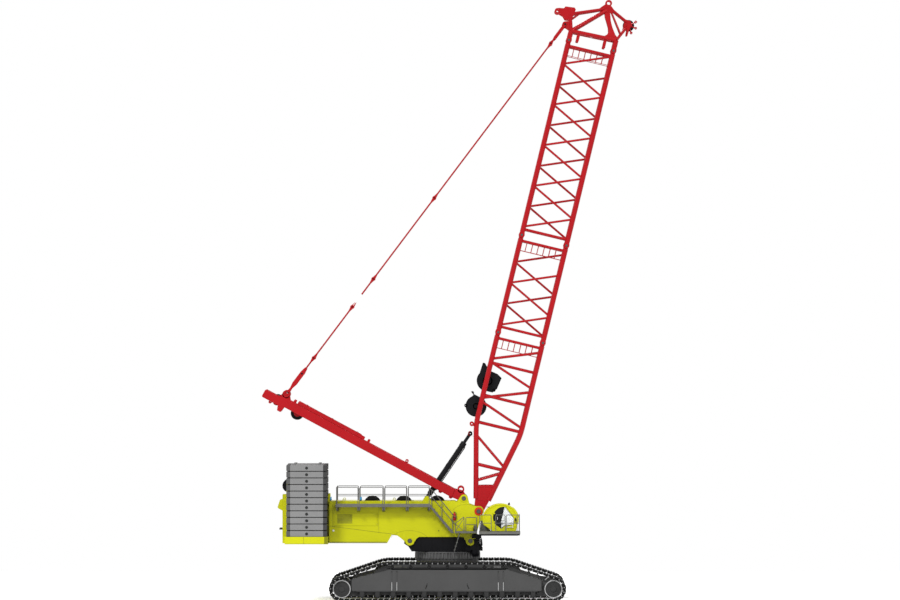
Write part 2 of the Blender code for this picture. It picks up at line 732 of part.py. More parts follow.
def engine_block():
    long, wide, tall = ENGINE_SIZE
    floor = FRAME_REAR_BOTTOM + SKIN + GAP
    return box((ENGINE_X - long / 2 + 0.2, ENGINE_X + long / 2), (-wide / 2, wide / 2), (floor, floor + tall))


def service_door(side):
    """Panel that fills its opening, hinged on its front edge."""
    inner, outer = FRAME_HALF_WIDTH - PANEL, FRAME_HALF_WIDTH
    panel = box((DOOR_REAR + DOOR_PLAY, DOOR_FRONT - 2 * DOOR_PLAY), (side * inner, side * outer),
                (DOOR_BOTTOM + DOOR_PLAY, DOOR_TOP - DOOR_PLAY))
    levels = (DOOR_BOTTOM + 0.18, DOOR_TOP - 0.18)
    return fuse([panel, *hinges(service_hinge()[0], side * outer, side, -HINGE_REACH, levels)])


def service_hinge():
    """Place of the right door's hinge axis on plan; the left one is its mirror image."""
    return DOOR_FRONT + HINGE_RADIUS, -(FRAME_HALF_WIDTH + GAP + HINGE_RADIUS)


def hoist_drum(x, z=DRUM_Z, half=DRUM_HALF_LENGTH, flange=DRUM_FLANGE_RADIUS,
               core=DRUM_CORE_RADIUS, shaft=DRUM_SHAFT_RADIUS, reach=BEARING_WIDTH):
    """Flanged drum on a shaft that turns in two bearings."""
    plate = 0.05
    profile = [
        (-half - reach, shaft), (-half, shaft), (-half, flange), (-half + plate, flange),
        (-half + plate, core), (half - plate, core), (half - plate, flange), (half, flange),
        (half, shaft), (half + reach, shaft),
    ]
    return lathe(profile, across(x, z), phase=0.0)


def tail_frame():
    """Rear frame with the counterweight tray and the cheeks of the luffing winch."""
    half = TAIL_HALF_WIDTH
    front = FRAME_REAR - GAP
    tray_half = half + SLAB_WIDTH + 0.12
    winch_x, winch_z = LUFFING_WINCH
    pieces = [
        box((TRAY_REAR, TRAY_FRONT), (-tray_half, tray_half), (TRAY_BOTTOM, TRAY_TOP - GAP)),
        box((TAIL_REAR, front), (-half, half), (TRAY_BOTTOM, TRAY_TOP + 0.3)),
    ]
    for side in (-1, 1):
        post = [
            (TAIL_REAR, TRAY_TOP), (TAIL_REAR + TAIL_POST, TRAY_TOP), (TAIL_REAR + TAIL_POST, TAIL_TOP - 0.1),
            (TAIL_REAR + 0.60, TAIL_TOP - 0.1), (TAIL_REAR + 0.60, winch_z + 0.1),
            *arc((winch_x, winch_z), 0.16, 20, 180, 6),
            (winch_x - 0.16, TAIL_TOP), (TAIL_REAR, TAIL_TOP),
        ]
        inner = LUFFING_HALF_LENGTH + RUN
        cheek = prism(post, *sorted((side * inner, side * (inner + LUFFING_CHEEK))))
        journal = disc(winch_x, winch_z, bore_radius(LUFFING_SHAFT_RADIUS), (side * 0.6, side * 1.2))
        pieces.append(carve(cheek, [journal]))
        rear_post = (TAIL_REAR, TAIL_REAR + TAIL_POST)
        pieces.append(box(rear_post, (side * 0.70, side * half), (TRAY_TOP, TAIL_TOP - 0.2)))
        ear = [(TAIL_REAR + 0.1, 5.30), (TAIL_REAR + 0.1, 6.05), *arc((-9.97, 5.92), 0.10, 90, 150, 3),
               *arc((-10.08, 5.57), 0.10, 170, 260, 4)]
        pieces.append(prism(ear, *sorted((side * 0.80, side * 0.92))))
    pieces.append(box((TAIL_REAR, TAIL_REAR + 0.2), (-0.75, 0.75), (4.9, 5.2)))
    pieces.append(box((front - 0.12, front), (-0.9, 0.9), (TRAY_TOP, FRAME_TOP)))
    return fuse(pieces)


def counterweight_stack(side):
    """Slabs one on the other, parted by shallow slits all round."""
    low, high = sorted((side * (TAIL_HALF_WIDTH + 0.05), side * (TAIL_HALF_WIDTH + 0.05 + SLAB_WIDTH)))
    inset = SLAB_SLIT_DEPTH
    layers = []
    for k in range(SLAB_COUNT):
        bottom = TRAY_TOP + k * SLAB_PITCH
        top = bottom + SLAB_PITCH - (SLAB_SLIT if k < SLAB_COUNT - 1 else 0.0)
        layers.append((SLAB_REAR, SLAB_FRONT, low, high, bottom))
        layers.append((SLAB_REAR, SLAB_FRONT, low, high, top))
        if k < SLAB_COUNT - 1:
            core = (SLAB_REAR + inset, SLAB_FRONT - inset, low + inset, high - inset)
            layers.append((*core, top))
            layers.append((*core, bottom + SLAB_PITCH))
    return stack(layers)


# ================================================================ access
def railing(x_range, y, floor, posts, height=RAIL_HEIGHT):
    """Posts with a hand rail and a knee rail along X."""
    half = RAIL_SIZE / 2
    pieces = []
    length = (x_range[0] - half, x_range[1] + half)
    for level in (floor + height, floor + height * 0.5):
        pieces.append(box(length, (y - half, y + half), (level - half, level + half)))
    for k in range(posts):
        x = x_range[0] + (x_range[1] - x_range[0]) * k / (posts - 1)
        pieces.append(box((x - half, x + half), (y - half, y + half), (floor - 0.03, floor + height)))
    return pieces


def cross_railing(x, y_range, floor, height=RAIL_HEIGHT):
    """Hand rail and knee rail across, between two posts that stand already."""
    half = RAIL_SIZE / 2
    low, high = sorted(y_range)
    return [
        box((x - half, x + half), (low, high), (level - half, level + half))
        for level in (floor + height, floor + height * 0.5)
    ]


def walkway(side):
    """Deck along the side panel, on brackets, with railings outside and at the rear."""
    inner = side * (FRAME_HALF_WIDTH + GAP)
    outer = side * (FRAME_HALF_WIDTH + WALK_WIDTH)
    rail_y = outer - side * RAIL_SIZE
    pieces = [box((WALK_REAR, WALK_FRONT), (inner, outer), (WALK_TOP - WALK_THICKNESS, WALK_TOP))]
    pieces += railing((WALK_REAR + 0.05, WALK_FRONT - 0.05), rail_y, WALK_TOP, WALK_POSTS)
    rear_post = box((WALK_REAR + 0.025, WALK_REAR + 0.075), (inner, inner + side * RAIL_SIZE),
                    (WALK_TOP - 0.03, WALK_TOP + RAIL_HEIGHT))
    pieces += [rear_post, *cross_railing(WALK_REAR + 0.05, (inner, rail_y), WALK_TOP)]
    for k in range(WALK_POSTS):
        x = WALK_REAR + 0.1 + (WALK_FRONT - WALK_REAR - 0.2) * k / (WALK_POSTS - 1)
        bracket = [(inner, 5.30), (inner, WALK_TOP - 0.1), (outer, WALK_TOP - 0.1), (outer, WALK_TOP - 0.16)]
        pieces.append(prism(bracket, x - 0.02, x + 0.02, lambda a, b, c: (c, a, b)))
    return fuse(pieces)


def stairs():
    """Two stringers with treads, from the right walkway down to the landing."""
    inner = -(FRAME_HALF_WIDTH + 0.10)
    outer = -(FRAME_HALF_WIDTH + WALK_WIDTH)
    head = (WALK_FRONT + GAP, WALK_TOP - 0.03)
    foot = STAIR_FOOT
    pieces = []
    for y in (inner, outer + 0.04):
        stringer = [head, (head[0], head[1] - 0.20), (foot[0] - 0.12, foot[1]), (foot[0] + 0.06, foot[1])]
        pieces.append(prism(stringer, y - 0.04, y))
    rise = (head[1] - foot[1]) / (STAIR_TREADS + 1)
    run = (foot[0] - head[0]) / (STAIR_TREADS + 1)
    for k in range(1, STAIR_TREADS + 1):
        x, z = head[0] + run * k, head[1] - rise * k
        pieces.append(box((x - 0.16, x + 0.08), (inner - 0.02, outer + 0.02), (z - 0.07, z - 0.03)))
    for y in (outer + 0.02,):
        for t in (0.02, 0.5, 0.98):
            x, z = head[0] + (foot[0] - head[0]) * t, head[1] + (foot[1] - head[1]) * t
            pieces.append(box((x - 0.025, x + 0.025), (y - 0.025, y + 0.025), (z - 0.12, z + 0.95)))
        start = (head[0], y, head[1] + 0.93)
        end = (foot[0], y, foot[1] + 0.93)
        pieces.append(tube(start, end, 0.03, 4))
    return fuse(pieces)


def landing():
    """Platform at the stair's foot with its railings and the slanting ladder down to the crawler."""
    inner = -(FRAME_HALF_WIDTH + GAP)
    outer = -(FRAME_HALF_WIDTH + WALK_WIDTH + 0.10)
    rear, front = STAIR_FOOT[0] + 0.08, STAIR_FOOT[0] + LANDING_LENGTH
    pieces = [box((rear, front), (inner, outer), (LANDING_TOP - 0.14, LANDING_TOP))]
    pieces += railing((rear + 0.68, front - 0.03), outer + RAIL_SIZE, LANDING_TOP, 2, 0.85)
    pieces.append(box((1.07, 1.54), (inner - 0.02, inner - 0.48), (LANDING_TOP - 0.02, LANDING_TOP + 0.30)))
    foot_x, foot_z = LADDER_FOOT
    head_x, head_z = rear + 0.30, LANDING_TOP - 0.10
    for y in (outer + 0.04, outer + 0.04 + LADDER_WIDTH):
        pieces.append(tube((foot_x, y, foot_z), (head_x, y, head_z), 0.035, 4))
    steps = 4
    for k in range(steps):
        t = (k + 0.3) / steps
        x, z = foot_x + (head_x - foot_x) * t, foot_z + (head_z - foot_z) * t
        width = (outer + 0.03, outer + 0.05 + LADDER_WIDTH)
        pieces.append(box((x - 0.06, x + 0.06), width, (z - 0.02, z + 0.02)))
    return fuse(pieces)


def cab_platform():
    """Deck that carries the cab ahead of the frame, with its bracket, beam and railings."""
    inner = -(FRAME_HALF_WIDTH + GAP)
    outer = -(FRAME_HALF_WIDTH + PLATFORM_WIDTH)
    top = CAB_FLOOR - GAP
    pieces = [
        box((PLATFORM_REAR, PLATFORM_FRONT), (inner - 0.05, outer), (PLATFORM_BOTTOM, top)),
        box((1.45, PLATFORM_FRONT - 0.1), (inner, inner - 0.24), (3.72, PLATFORM_BOTTOM + 0.02)),
    ]
    rear = PLATFORM_REAR
    bracket = [(rear + 0.06, top - 0.02), (rear + 0.72, top - 0.02), (rear + 0.20, top + 0.60)]
    pieces.append(prism(bracket, inner - 0.12, inner - 0.06))
    pieces += railing((2.87, PLATFORM_FRONT - 0.05), outer + RAIL_SIZE, top, 3, 1.0)
    pieces += cross_railing(PLATFORM_FRONT - 0.05, (outer + RAIL_SIZE, inner - 0.10), top, 1.0)
    corner_post = (PLATFORM_FRONT - 0.075, PLATFORM_FRONT - 0.025)
    pieces.append(box(corner_post, (inner - 0.08, inner - 0.13), (top - 0.03, top + 1.0)))
    return fuse(pieces)


# ================================================================ cab
def cab_outline(inset=0.0):
    """Egg-shaped side outline that stands on a flat foot."""
    wide, tall = CAB_RADIUS[0] - inset, CAB_RADIUS[1] - inset
    floor = CAB_FLOOR + inset
    round_part = arc(CAB_CENTRE, (wide, tall), -6, 196, 22)
    return [(CAB_FRONT_FOOT - inset, floor), *round_part, (CAB_REAR_FOOT + inset * 0.6, floor)]


def window_outline(grow=0.0):
    """Opening in the side wall: round at the rear, pointed below, straight along the front post."""
    radius = WINDOW_RADIUS + grow
    x, z = WINDOW_CENTRE
    return [
        *arc((x, z), radius, 82, 222, 14),
        (x - 0.14, z - radius - 0.02), (x + 0.02, z - 0.50 - grow),
        (CAB_FRONT_FOOT - 0.12 + grow, z - 0.42 - grow), (CAB_FRONT_FOOT - 0.10 + grow, z - 0.06),
    ]


def door_outline(inset):
    """The dark rear half of the side window, up to its slanting front edge."""
    radius = WINDOW_RADIUS - inset
    x, z = WINDOW_CENTRE
    return [
        (x + 0.05 - inset, z + radius), *arc((x, z), radius, 95, 222, 12),
        (x - 0.14 - inset / 2, z - WINDOW_RADIUS - 0.02 + 1.3 * inset), (x - 0.17 - inset, z - 0.28),
    ]


def cab_shell():
    """Hollow cab with side openings, an open front for the windscreen and no roof window."""
    near, far = -(CAB_INNER + CAB_WIDTH), -CAB_INNER
    shell = prism(cab_outline(), near, far)
    cutters = [
        prism(cab_outline(CAB_WALL), near + CAB_WALL, far - CAB_WALL),
        prism(window_outline(), near - 1, far + 1),
        # the windscreen's opening, between the front posts, from brow to sill
        box((3.62, 5.0), (near + 0.16, far - 0.16), (CAB_FLOOR + 0.42, 5.52)),
    ]
    return carve(shell, cutters)


def cab_door():
    """Tinted door on two hinges at its rear edge."""
    near = -(CAB_INNER + CAB_WIDTH)
    panel = prism(door_outline(DOOR_PLAY), near, near + CAB_WALL)
    levels = (WINDOW_CENTRE[1] - 0.25, WINDOW_CENTRE[1] + 0.25)
    return fuse([panel, *hinges(cab_hinge()[0], near, -1, HINGE_REACH, levels)])


def cab_hinge():
    """Place of the cab door's hinge axis on plan."""
    return WINDOW_CENTRE[0] - WINDOW_RADIUS - HINGE_RADIUS, -(CAB_INNER + CAB_WIDTH + GAP + HINGE_RADIUS)


def side_glass(side_name):
    """Glass of one side opening: all of it on the inboard side, ahead of the door on the other."""
    near, far = -(CAB_INNER + CAB_WIDTH), -CAB_INNER
    pane = 0.02
    low = near + 0.025 if side_name == "outer" else far - 0.045
    glass = prism(window_outline(-GAP), low, low + pane)
    if side_name == "inner":
        return glass
    return carve(glass, [prism(door_outline(-RUN), near - 1, far + 1)])


def windscreen():
    """Bulged pane in the front opening, following the cab's round outline."""
    near, far = -(CAB_INNER + CAB_WIDTH) + 0.16 + GAP, -CAB_INNER - 0.16 - GAP
    outer = [p for p in cab_outline(0.015)[1:-1] if p[0] > 3.5]
    inner = [p for p in cab_outline(0.04)[1:-1] if p[0] > 3.5]
    curve = prism(outer + inner[::-1], near, far)
    keep = box((3.62 + GAP, 5.0), (near - 1, far + 1), (CAB_FLOOR + 0.42 + GAP, 5.52 - GAP))
    sill = CAB_FLOOR + 0.3
    lower = [(CAB_FRONT_FOOT - 0.015, sill), outer[0], inner[0], (CAB_FRONT_FOOT - 0.04, sill)]
    return combine(fuse([curve, prism(lower, near, far)]), [keep], "INTERSECT")


def operator_seat():
    middle = -(CAB_INNER + CAB_WIDTH / 2)
    floor = CAB_FLOOR + CAB_WALL + GAP
    pieces = [
        box((2.92, 3.22), (middle - 0.15, middle + 0.15), (floor, floor + 0.28)),
        box((2.80, 3.34), (middle - 0.27, middle + 0.27), (floor + 0.26, floor + 0.40)),
        prism([(2.84, floor + 0.36), (2.96, floor + 0.36), (2.84, floor + 1.05), (2.72, floor + 1.05)],
              middle - 0.25, middle + 0.25),
    ]
    return fuse(pieces)


def control_console():
    middle = -(CAB_INNER + CAB_WIDTH / 2)
    floor = CAB_FLOOR + CAB_WALL + GAP
    pieces = [
        prism([(3.62, floor), (3.80, floor), (3.90, floor + 0.34), (3.62, floor + 0.30)],
              middle - 0.35, middle + 0.35),
    ]
    for side in (-1, 1):
        pieces.append(box((3.10, 3.70), (middle + side * 0.34, middle + side * 0.46), (floor, floor + 0.42)))
    return fuse(pieces)


# ================================================================ boom
def boom_bar(a, b, radius=LACING_RADIUS, sides=LACING_SIDES):
    """A bar between two (along, across, y) places on the boom."""
    return tube(BOOM.at(*a), BOOM.at(*b), radius, sides)


def chord_places():
    for face in (-1, 1):
        for side in (-1, 1):
            yield face * BOOM_HALF_DEPTH, side * BOOM_HALF_WIDTH


def end_frame(u):
    """Four bars round the boom, square to it."""
    d, w = BOOM_HALF_DEPTH, BOOM_HALF_WIDTH
    bars = [boom_bar((u, -d, side * w), (u, d, side * w), BRACE_RADIUS) for side in (-1, 1)]
    bars += [boom_bar((u, face * d, -w), (u, face * d, w), BRACE_RADIUS) for face in (-1, 1)]
    return bars


def lacing(back_nodes, low, high):
    """Zigzag bars on all four faces.  Back nodes lie in turn on the right and on the left chord."""
    d, w = BOOM_HALF_DEPTH, BOOM_HALF_WIDTH
    bars = []
    for k, u in enumerate(back_nodes):
        side = w if k % 2 else -w
        if u + LACING_RISE <= high:
            bars.append(boom_bar((u, -d, side), (u + LACING_RISE, d, side)))
        if u - LACING_FALL >= low:
            bars.append(boom_bar((u, -d, side), (u - LACING_FALL, d, side)))
        if k + 1 < len(back_nodes):
            following = back_nodes[k + 1]
            bars.append(boom_bar((u, -d, side), (following, -d, -side)))
            if following + LACING_RISE <= high:
                bars.append(boom_bar((u + LACING_RISE, d, side), (following + LACING_RISE, d, -side)))
    return bars


def insert_section(start, length, spacing):
    """Straight boom section: four chords, two end frames and as much zigzag lacing as fits."""
    first, pitch = spacing
    bars = [
        boom_bar((start + GAP, v, y), (start + length - GAP, v, y), CHORD_RADIUS, CHORD_SIDES)
        for v, y in chord_places()
    ]
    low, high = start + END_FRAME, start + length - END_FRAME
    bars += end_frame(low) + end_frame(high)
    count = 1 + int((length - first - END_FRAME - LACING_RISE) / pitch)
    nodes = [start + first + pitch * k for k in range(count)]
    return fuse(bars + lacing(nodes, low, high))


def boom_foot():
    """Tapered foot section: solid web plates run down to the two eyes on the boom pins."""
    d, w = BOOM_HALF_DEPTH, BOOM_HALF_WIDTH
    top = FOOT_LENGTH - GAP
    back_chord = ((0.71, -0.33), (5.10, -d), (top, -d))
    front_chord = ((0.76, 0.43), (5.02, d), (top, d))
    web = [*arc((0, 0), BOOM_EYE_RADIUS + 0.02, 270, 90, 8), (0.80, 0.47), (1.75, 0.70), (1.45, -0.54),
           (0.75, -0.37)]
    # bars in each side of the foot: from the back chord to the front chord
    side_bars = (((9.06, -d), (10.09, d)), ((8.86, -d), (7.86, d)), ((6.65, -d), (7.65, d)),
                 ((6.44, -d), (5.41, d)), ((4.38, -1.16), (2.88, 0.90)), ((1.75, -0.56), (2.52, 0.80)))
    side_braces = (((8.83, -d), (8.83, d)), ((6.83, -d), (6.83, d)), ((5.18, -d), (5.18, d)),
                   ((2.71, -0.78), (2.71, 0.85)))
    bars = []
    for side in (-1, 1):
        y = side * w
        for chord in (back_chord, front_chord):
            path = [BOOM.at(u, v, y) for u, v in chord]
            bars.append(bent_tube(path, CHORD_RADIUS, CHORD_SIDES))
        plate = BOOM.plate(web, (y - LUG_HALF_WIDTH, y + LUG_HALF_WIDTH))
        bars.append(carve(plate, [pin_bore(*BOOM_PIN, BOOM_PIN_RADIUS, (y - 0.5, y + 0.5))]))
        bars += [boom_bar((*a, y), (*b, y)) for a, b in side_bars]
        bars += [boom_bar((*a, y), (*b, y), BRACE_RADIUS) for a, b in side_braces]
    bars += end_frame(FOOT_LENGTH - END_FRAME)
    # bars across, on the front and on the back face
    for u, v in ((8.83, d), (6.83, d), (5.18, d), (2.71, 0.86), (2.71, -0.80)):
        bars.append(boom_bar((u, v, -w), (u, v, w), BRACE_RADIUS))
    for low, high, side in ((8.83, 10.35, -1), (6.83, 8.83, 1), (5.18, 6.83, -1)):
        bars.append(boom_bar((low, d, side * w), (high, d, -side * w)))
    bars.append(boom_bar((8.83, -d, w), (10.35, -d, -w)))
    bars.append(boom_bar((2.75, 0.88, -w), (5.10, d, w)))
    for u, v in winch_ties():
        bars.append(boom_bar((u, v, -w), (u, v, w), BRACE_RADIUS, TIE_SIDES))
    return fuse(bars + backstop_lugs())


def winch_ties():
    """Where the two cross bars that carry the boom winches lie: along the boom, across it."""
    return ((UPPER_WINCH[0] - 0.46, -BOOM_HALF_DEPTH), (LOWER_WINCH[0] - 0.40, -BOOM_HALF_DEPTH))


def backstop_lugs():
    """Cross bar on the back face with a pair of plates for each backstop's head."""
    u, v = BACKSTOP_HEAD
    bar_u, bar_v = u + 0.05, v + 0.42
    w = BOOM_HALF_WIDTH
    pieces = [boom_bar((bar_u, bar_v, -w), (bar_u, bar_v, w), BRACE_RADIUS)]
    for side in (-1, 1):
        for way in (-1, 1):
            near = BACKSTOP_Y + way * (ROD_RADIUS + RUN)
            span = (side * near, side * (near + way * BACKSTOP_LUG_WIDTH))
            plate = [(bar_u - 0.10, bar_v + 0.04), (bar_u + 0.10, bar_v + 0.04),
                     (u + 0.13, v), *arc((u, v), 0.13, -45, -135, 4), (u - 0.13, v)]
            pieces.append(BOOM.plate(plate, span))
    return pieces


def boom_head():
    """Head section: cross beam, side plates, top plates with the lifting eye and the nose arms."""
    d, w = BOOM_HALF_DEPTH, BOOM_HALF_WIDTH
    start = HEAD_START
    back, front = (start + 0.56, -d), (start + 0.64, d)
    left_plate, top_plate, nose = (start + 1.57, -1.80), (start + 2.40, 0.43), NOSE_AXLE
    top_y, nose_y = 0.55, 0.38
    bars = []
    for side in (-1, 1):
        y = side * w
        bars.append(boom_bar((start + GAP, -d, y), (*back, y), CHORD_RADIUS, CHORD_SIDES))
        bars.append(boom_bar((start + GAP, d, y), (*front, y), CHORD_RADIUS, CHORD_SIDES))
        bars.append(boom_bar((*back, y), (*front, y), 0.12))
        bars.append(boom_bar((*back, y), (*left_plate, y), 0.12, 6))
        bars.append(boom_bar((*back, y), (top_plate[0], top_plate[1], side * top_y), 0.12, 6))
        bars.append(boom_bar((*left_plate, y), (top_plate[0] + 0.05, top_plate[1], side * top_y), 0.10))
        bars.append(boom_bar((*front, y), (top_plate[0], top_plate[1], side * top_y), 0.16, 6))
        bars.append(boom_bar((*front, y), (nose[0], nose[1], side * nose_y), 0.08))
        upper_arm = (top_plate[0], top_plate[1] + 0.1, side * top_y)
        bars.append(boom_bar(upper_arm, (nose[0] + 0.1, nose[1], side * nose_y), 0.09))
        # lug plates for the main stay and for rigging, beside the chord's end
        span = (side * (w - STAY_LUG_HALF), side * (w + STAY_LUG_HALF))
        stay_lug = [(start + 0.40, -1.30), (start + 1.05, -1.45), *arc(HEAD_PIVOT, 0.17, 10, -170, 6)]
        bars.append(BOOM.plate(stay_lug, span))
        rear_eye = [(start + 1.32, -1.55), (start + 1.88, -1.60), (start + 1.85, -2.10),
                    *arc(HEAD_EYE, 0.17, 20, -200, 6)]
        bars.append(BOOM.plate(rear_eye, span))
        top = [(start + 2.05, 0.10), (start + 2.10, 0.80), (start + 2.50, 0.75),
               *arc(TOP_EYE, 0.20, 60, -60, 6), (start + 2.50, 0.10)]
        bars.append(BOOM.plate(top, (side * (top_y - 0.05), side * (top_y + 0.05))))
        nose_plate = [(start + 1.35, 1.60), (start + 1.52, 2.02), (start + 1.75, 2.12), (start + 2.00, 1.95),
                      (start + 2.02, 1.60)]
        bars.append(BOOM.plate(nose_plate, (side * NOSE_PLATE[0], side * NOSE_PLATE[1])))
    bars.append(boom_bar((start + 0.60, -0.1, -w), (start + 0.60, -0.1, w), 0.12))
    bars.append(boom_bar((*back, -w), (*back, w), 0.12))
    bars.append(boom_bar((*front, -w), (*front, w), 0.12))
    reach = top_y + 0.1
    bars.append(boom_bar((*top_plate, -reach), (*top_plate, reach), 0.14, 6))
    bars.append(boom_bar((*left_plate, -w), (*left_plate, w), 0.10))
    head = fuse(bars)
    x, z = BOOM.flat(*HEAD_PIVOT)
    cutters = []
    for side in (-1, 1):
        span = (side * (w - 0.3), side * (w + 0.3))
        cutters.append(pin_bore(x, z, STAY_PIN_RADIUS, span))
        cutters.append(BOOM.disc(*HEAD_EYE, 0.07, span, 8))
        cutters.append(BOOM.disc(*TOP_EYE, 0.11, (side * (top_y - 0.2), side * (top_y + 0.2)), 8))
        cutters.append(BOOM.disc(*nose, bore_radius(NOSE_SHAFT_RADIUS), (side * 0.1, side * 0.6)))
    return carve(head, cutters)


def nose_sheave():
    half = NOSE_PLATE[0] - RUN
    end = NOSE_PLATE[1]
    x, z = BOOM.flat(*NOSE_AXLE)
    shaft, rim, groove, lip = NOSE_SHAFT_RADIUS, 0.34, 0.26, 0.06
    profile = [
        (-end, shaft), (-half, shaft), (-half, rim), (-half + lip, rim), (0.0, groove),
        (half - lip, rim), (half, rim), (half, shaft), (end, shaft),
    ]
    return lathe(profile, across(x, z), phase=0.0)


def winch_journal(u):
    return 0.30 if u == UPPER_WINCH[0] else 0.20


def boom_winch_frame(winch, tie):
    """Two cheek plates on a cross bar of the boom, held apart by spacer bars."""
    u, v, radius = winch
    tie_u, tie_v = tie
    half = WINCH_HALF_LENGTH
    if u == UPPER_WINCH[0]:
        outline = [
            *arc((u, v), radius, -60, -165, 8), (u - 0.62, v + 0.45), (u - 0.35, v + 0.66),
            (u + 0.35, v + 0.78), (u + 0.52, v + 0.50), (u + 0.62, v - 0.05),
            (u + 0.98, v - 0.38), (u + 0.98, v - 0.52),
        ]
    else:
        outline = [
            *arc((u, v), radius, 35, 325, 12), (u + 0.62, v - 0.30),
            *arc((u + 0.72, v - 0.40), 0.10, -60, 120, 3),
        ]
    pieces = []
    for side in (-1, 1):
        span = (side * (half - WINCH_CHEEK), side * half)
        pieces.append(BOOM.plate(outline, span))
    for angle in (150, 270):
        turn = math.radians(angle)
        spot = (u + (radius - 0.09) * math.cos(turn), v + (radius - 0.09) * math.sin(turn))
        pieces.append(boom_bar((*spot, -half + 0.01), (*spot, half - 0.01), 0.05, 6))
    frame = fuse(pieces)
    cutters = []
    for side in (-1, 1):
        span = (side * (half - 0.3), side * (half + 0.3))
        cutters.append(BOOM.disc(u, v, bore_radius(winch_journal(u)), span))
    reach = half + 0.3
    tie_radius = BRACE_RADIUS + 2 * GAP
    tie_hole = boom_bar((tie_u, tie_v, -reach), (tie_u, tie_v, reach), tie_radius, TIE_SIDES)
    return carve(frame, [*cutters, tie_hole])


def boom_winch_drum(winch):
    """Hollow drum whose journals turn in the cheek plates."""
    u, v, radius = winch
    x, z = BOOM.flat(u, v)
    half, inner = WINCH_HALF_LENGTH, WINCH_HALF_LENGTH - WINCH_CHEEK - RUN
    journal = winch_journal(u)
    core, flange = 0.33, 0.37
    bore = 0.21 if u == UPPER_WINCH[0] else 0.12
    profile = [
        (-half, bore), (-half, journal), (-inner, journal), (-inner, flange), (-inner + 0.04, flange),
        (-inner + 0.04, core), (inner - 0.04, core), (inner - 0.04, flange), (inner, flange),
        (inner, journal), (half, journal), (half, bore), (-half, bore),
    ]
    return lathe(profile, across(x, z), phase=0.0)


# ================================================================ mast
def mast_bar(a, b, radius=LACING_RADIUS, sides=LACING_SIDES):
    return tube(MAST.at(*a), MAST.at(*b), radius, sides)


def mast_frame():
    """Two box legs on the mast pins, tied by cross tubes, with the sheave head and the stay lugs."""
    w = BOOM_HALF_WIDTH
    half = MAST_LEG_WIDTH / 2
    pieces = []
    for side in (-1, 1):
        y = side * w
        root = [*arc((0, 0), MAST_EYE_RADIUS, 250, 90, 6), (0.25, 0.42),
                *arc(MAST_FOOT_EYE[:2], 0.20, 120, 20, 3),
                (0.75, MAST_OVER), (1.2, MAST_OVER), (1.2, MAST_UNDER), (0.75, MAST_UNDER)]
        pieces.append(MAST.plate(root, (y - LUG_HALF_WIDTH, y + LUG_HALF_WIDTH)))
        leg = [(0.62, MAST_UNDER + 0.02), (0.70, MAST_OVER), (12.40, MAST_OVER), (12.60, 0.13),
               (MAST_LENGTH, 0.13), (MAST_LENGTH, -0.37), (12.45, -0.37), (12.35, -0.66), (12.10, -0.66),
               (12.05, MAST_UNDER), (0.75, MAST_UNDER)]
        pieces.append(MAST.plate(leg, (y - half, y + half)))
        u, v = MAST_STAY_LUG
        lug = [(u - 0.35, MAST_OVER - 0.05), (u + 0.30, MAST_OVER - 0.10), *arc((u, v), 0.24, -10, 190, 6)]
        pieces.append(MAST.plate(lug, (y - STAY_LUG_HALF, y + STAY_LUG_HALF)))
        for s in (STORED_BAR[0] - 0.29, STORED_BAR[1] + 0.20):
            pieces.append(MAST.plate([(s - 0.08, MAST_OVER - 0.05), (s + 0.08, MAST_OVER - 0.05),
                                      (s + 0.08, 0.36), (s - 0.08, 0.36)], (y - 0.12, y + 0.12)))
    for s in (3.0, 6.8, 10.4, 13.2):
        pieces.append(mast_bar((s, -0.03, -w), (s, -0.03, w), 0.13, 6))
    for low, high in ((3.0, 6.8), (6.8, 10.4)):
        pieces.append(mast_bar((low, -0.03, -w), (high, -0.03, w), 0.08))
    for s, v, _ in MAST_SHEAVES:
        for way in (-1, 1):
            inner = SHEAVE_HALF_WIDTH + RUN
            span = (way * inner, way * (inner + HANGER_WIDTH))
            hanger = [(s - 0.22, -0.24), (s - 0.22, 0.16), (s + 0.22, 0.16), (s + 0.22, -0.24), (s, -0.40)]
            pieces.append(MAST.plate(hanger, span))
        for way in (-1, 1):
            edge = SHEAVE_HALF_WIDTH + RUN + HANGER_WIDTH / 2
            pieces.append(mast_bar((s, 0.10, way * edge), (s, 0.10, way * w), 0.07))
    frame = fuse(pieces)
    cutters = []
    for side in (-1, 1):
        span = (side * (w - 0.5), side * (w + 0.5))
        cutters.append(pin_bore(*MAST_PIN, MAST_PIN_RADIUS, span))
        cutters.append(MAST.disc(*MAST_FOOT_EYE, span, 10))
        cutters.append(MAST.disc(*MAST_STAY_LUG, STAY_BORE_RADIUS, span, 10))
    for s, v, _ in MAST_SHEAVES:
        cutters.append(MAST.disc(s, v, bore_radius(SHEAVE_SHAFT_RADIUS), (-0.9, 0.9)))
    return carve(frame, cutters)


def mast_sheaves(s, v, radius):
    """A set of sheaves on one shaft, carried by the hangers of the mast."""
    half, shaft = SHEAVE_HALF_WIDTH, SHEAVE_SHAFT_RADIUS
    groove = radius - 0.07
    end = half + RUN + HANGER_WIDTH
    profile = [(-end, shaft), (-half, shaft)]
    profile += [(-half, radius), (-half + 0.06, radius), (-half + 0.12, groove),
                (half - 0.12, groove), (half - 0.06, radius), (half, radius)]
    profile += [(half, shaft), (end, shaft)]
    x, z = MAST.flat(s, v)
    return lathe(profile, across(x, z), phase=0.0)


def stored_bar(side):
    """Stay bar stowed on the mast leg, on its two rests."""
    y = side * BOOM_HALF_WIDTH
    low, high = STORED_BAR
    under = MAST_OVER + GAP
    return MAST.plate([(low, under), (high, under), (high, 0.44), (low, 0.44)], (y - 0.09, y + 0.09))


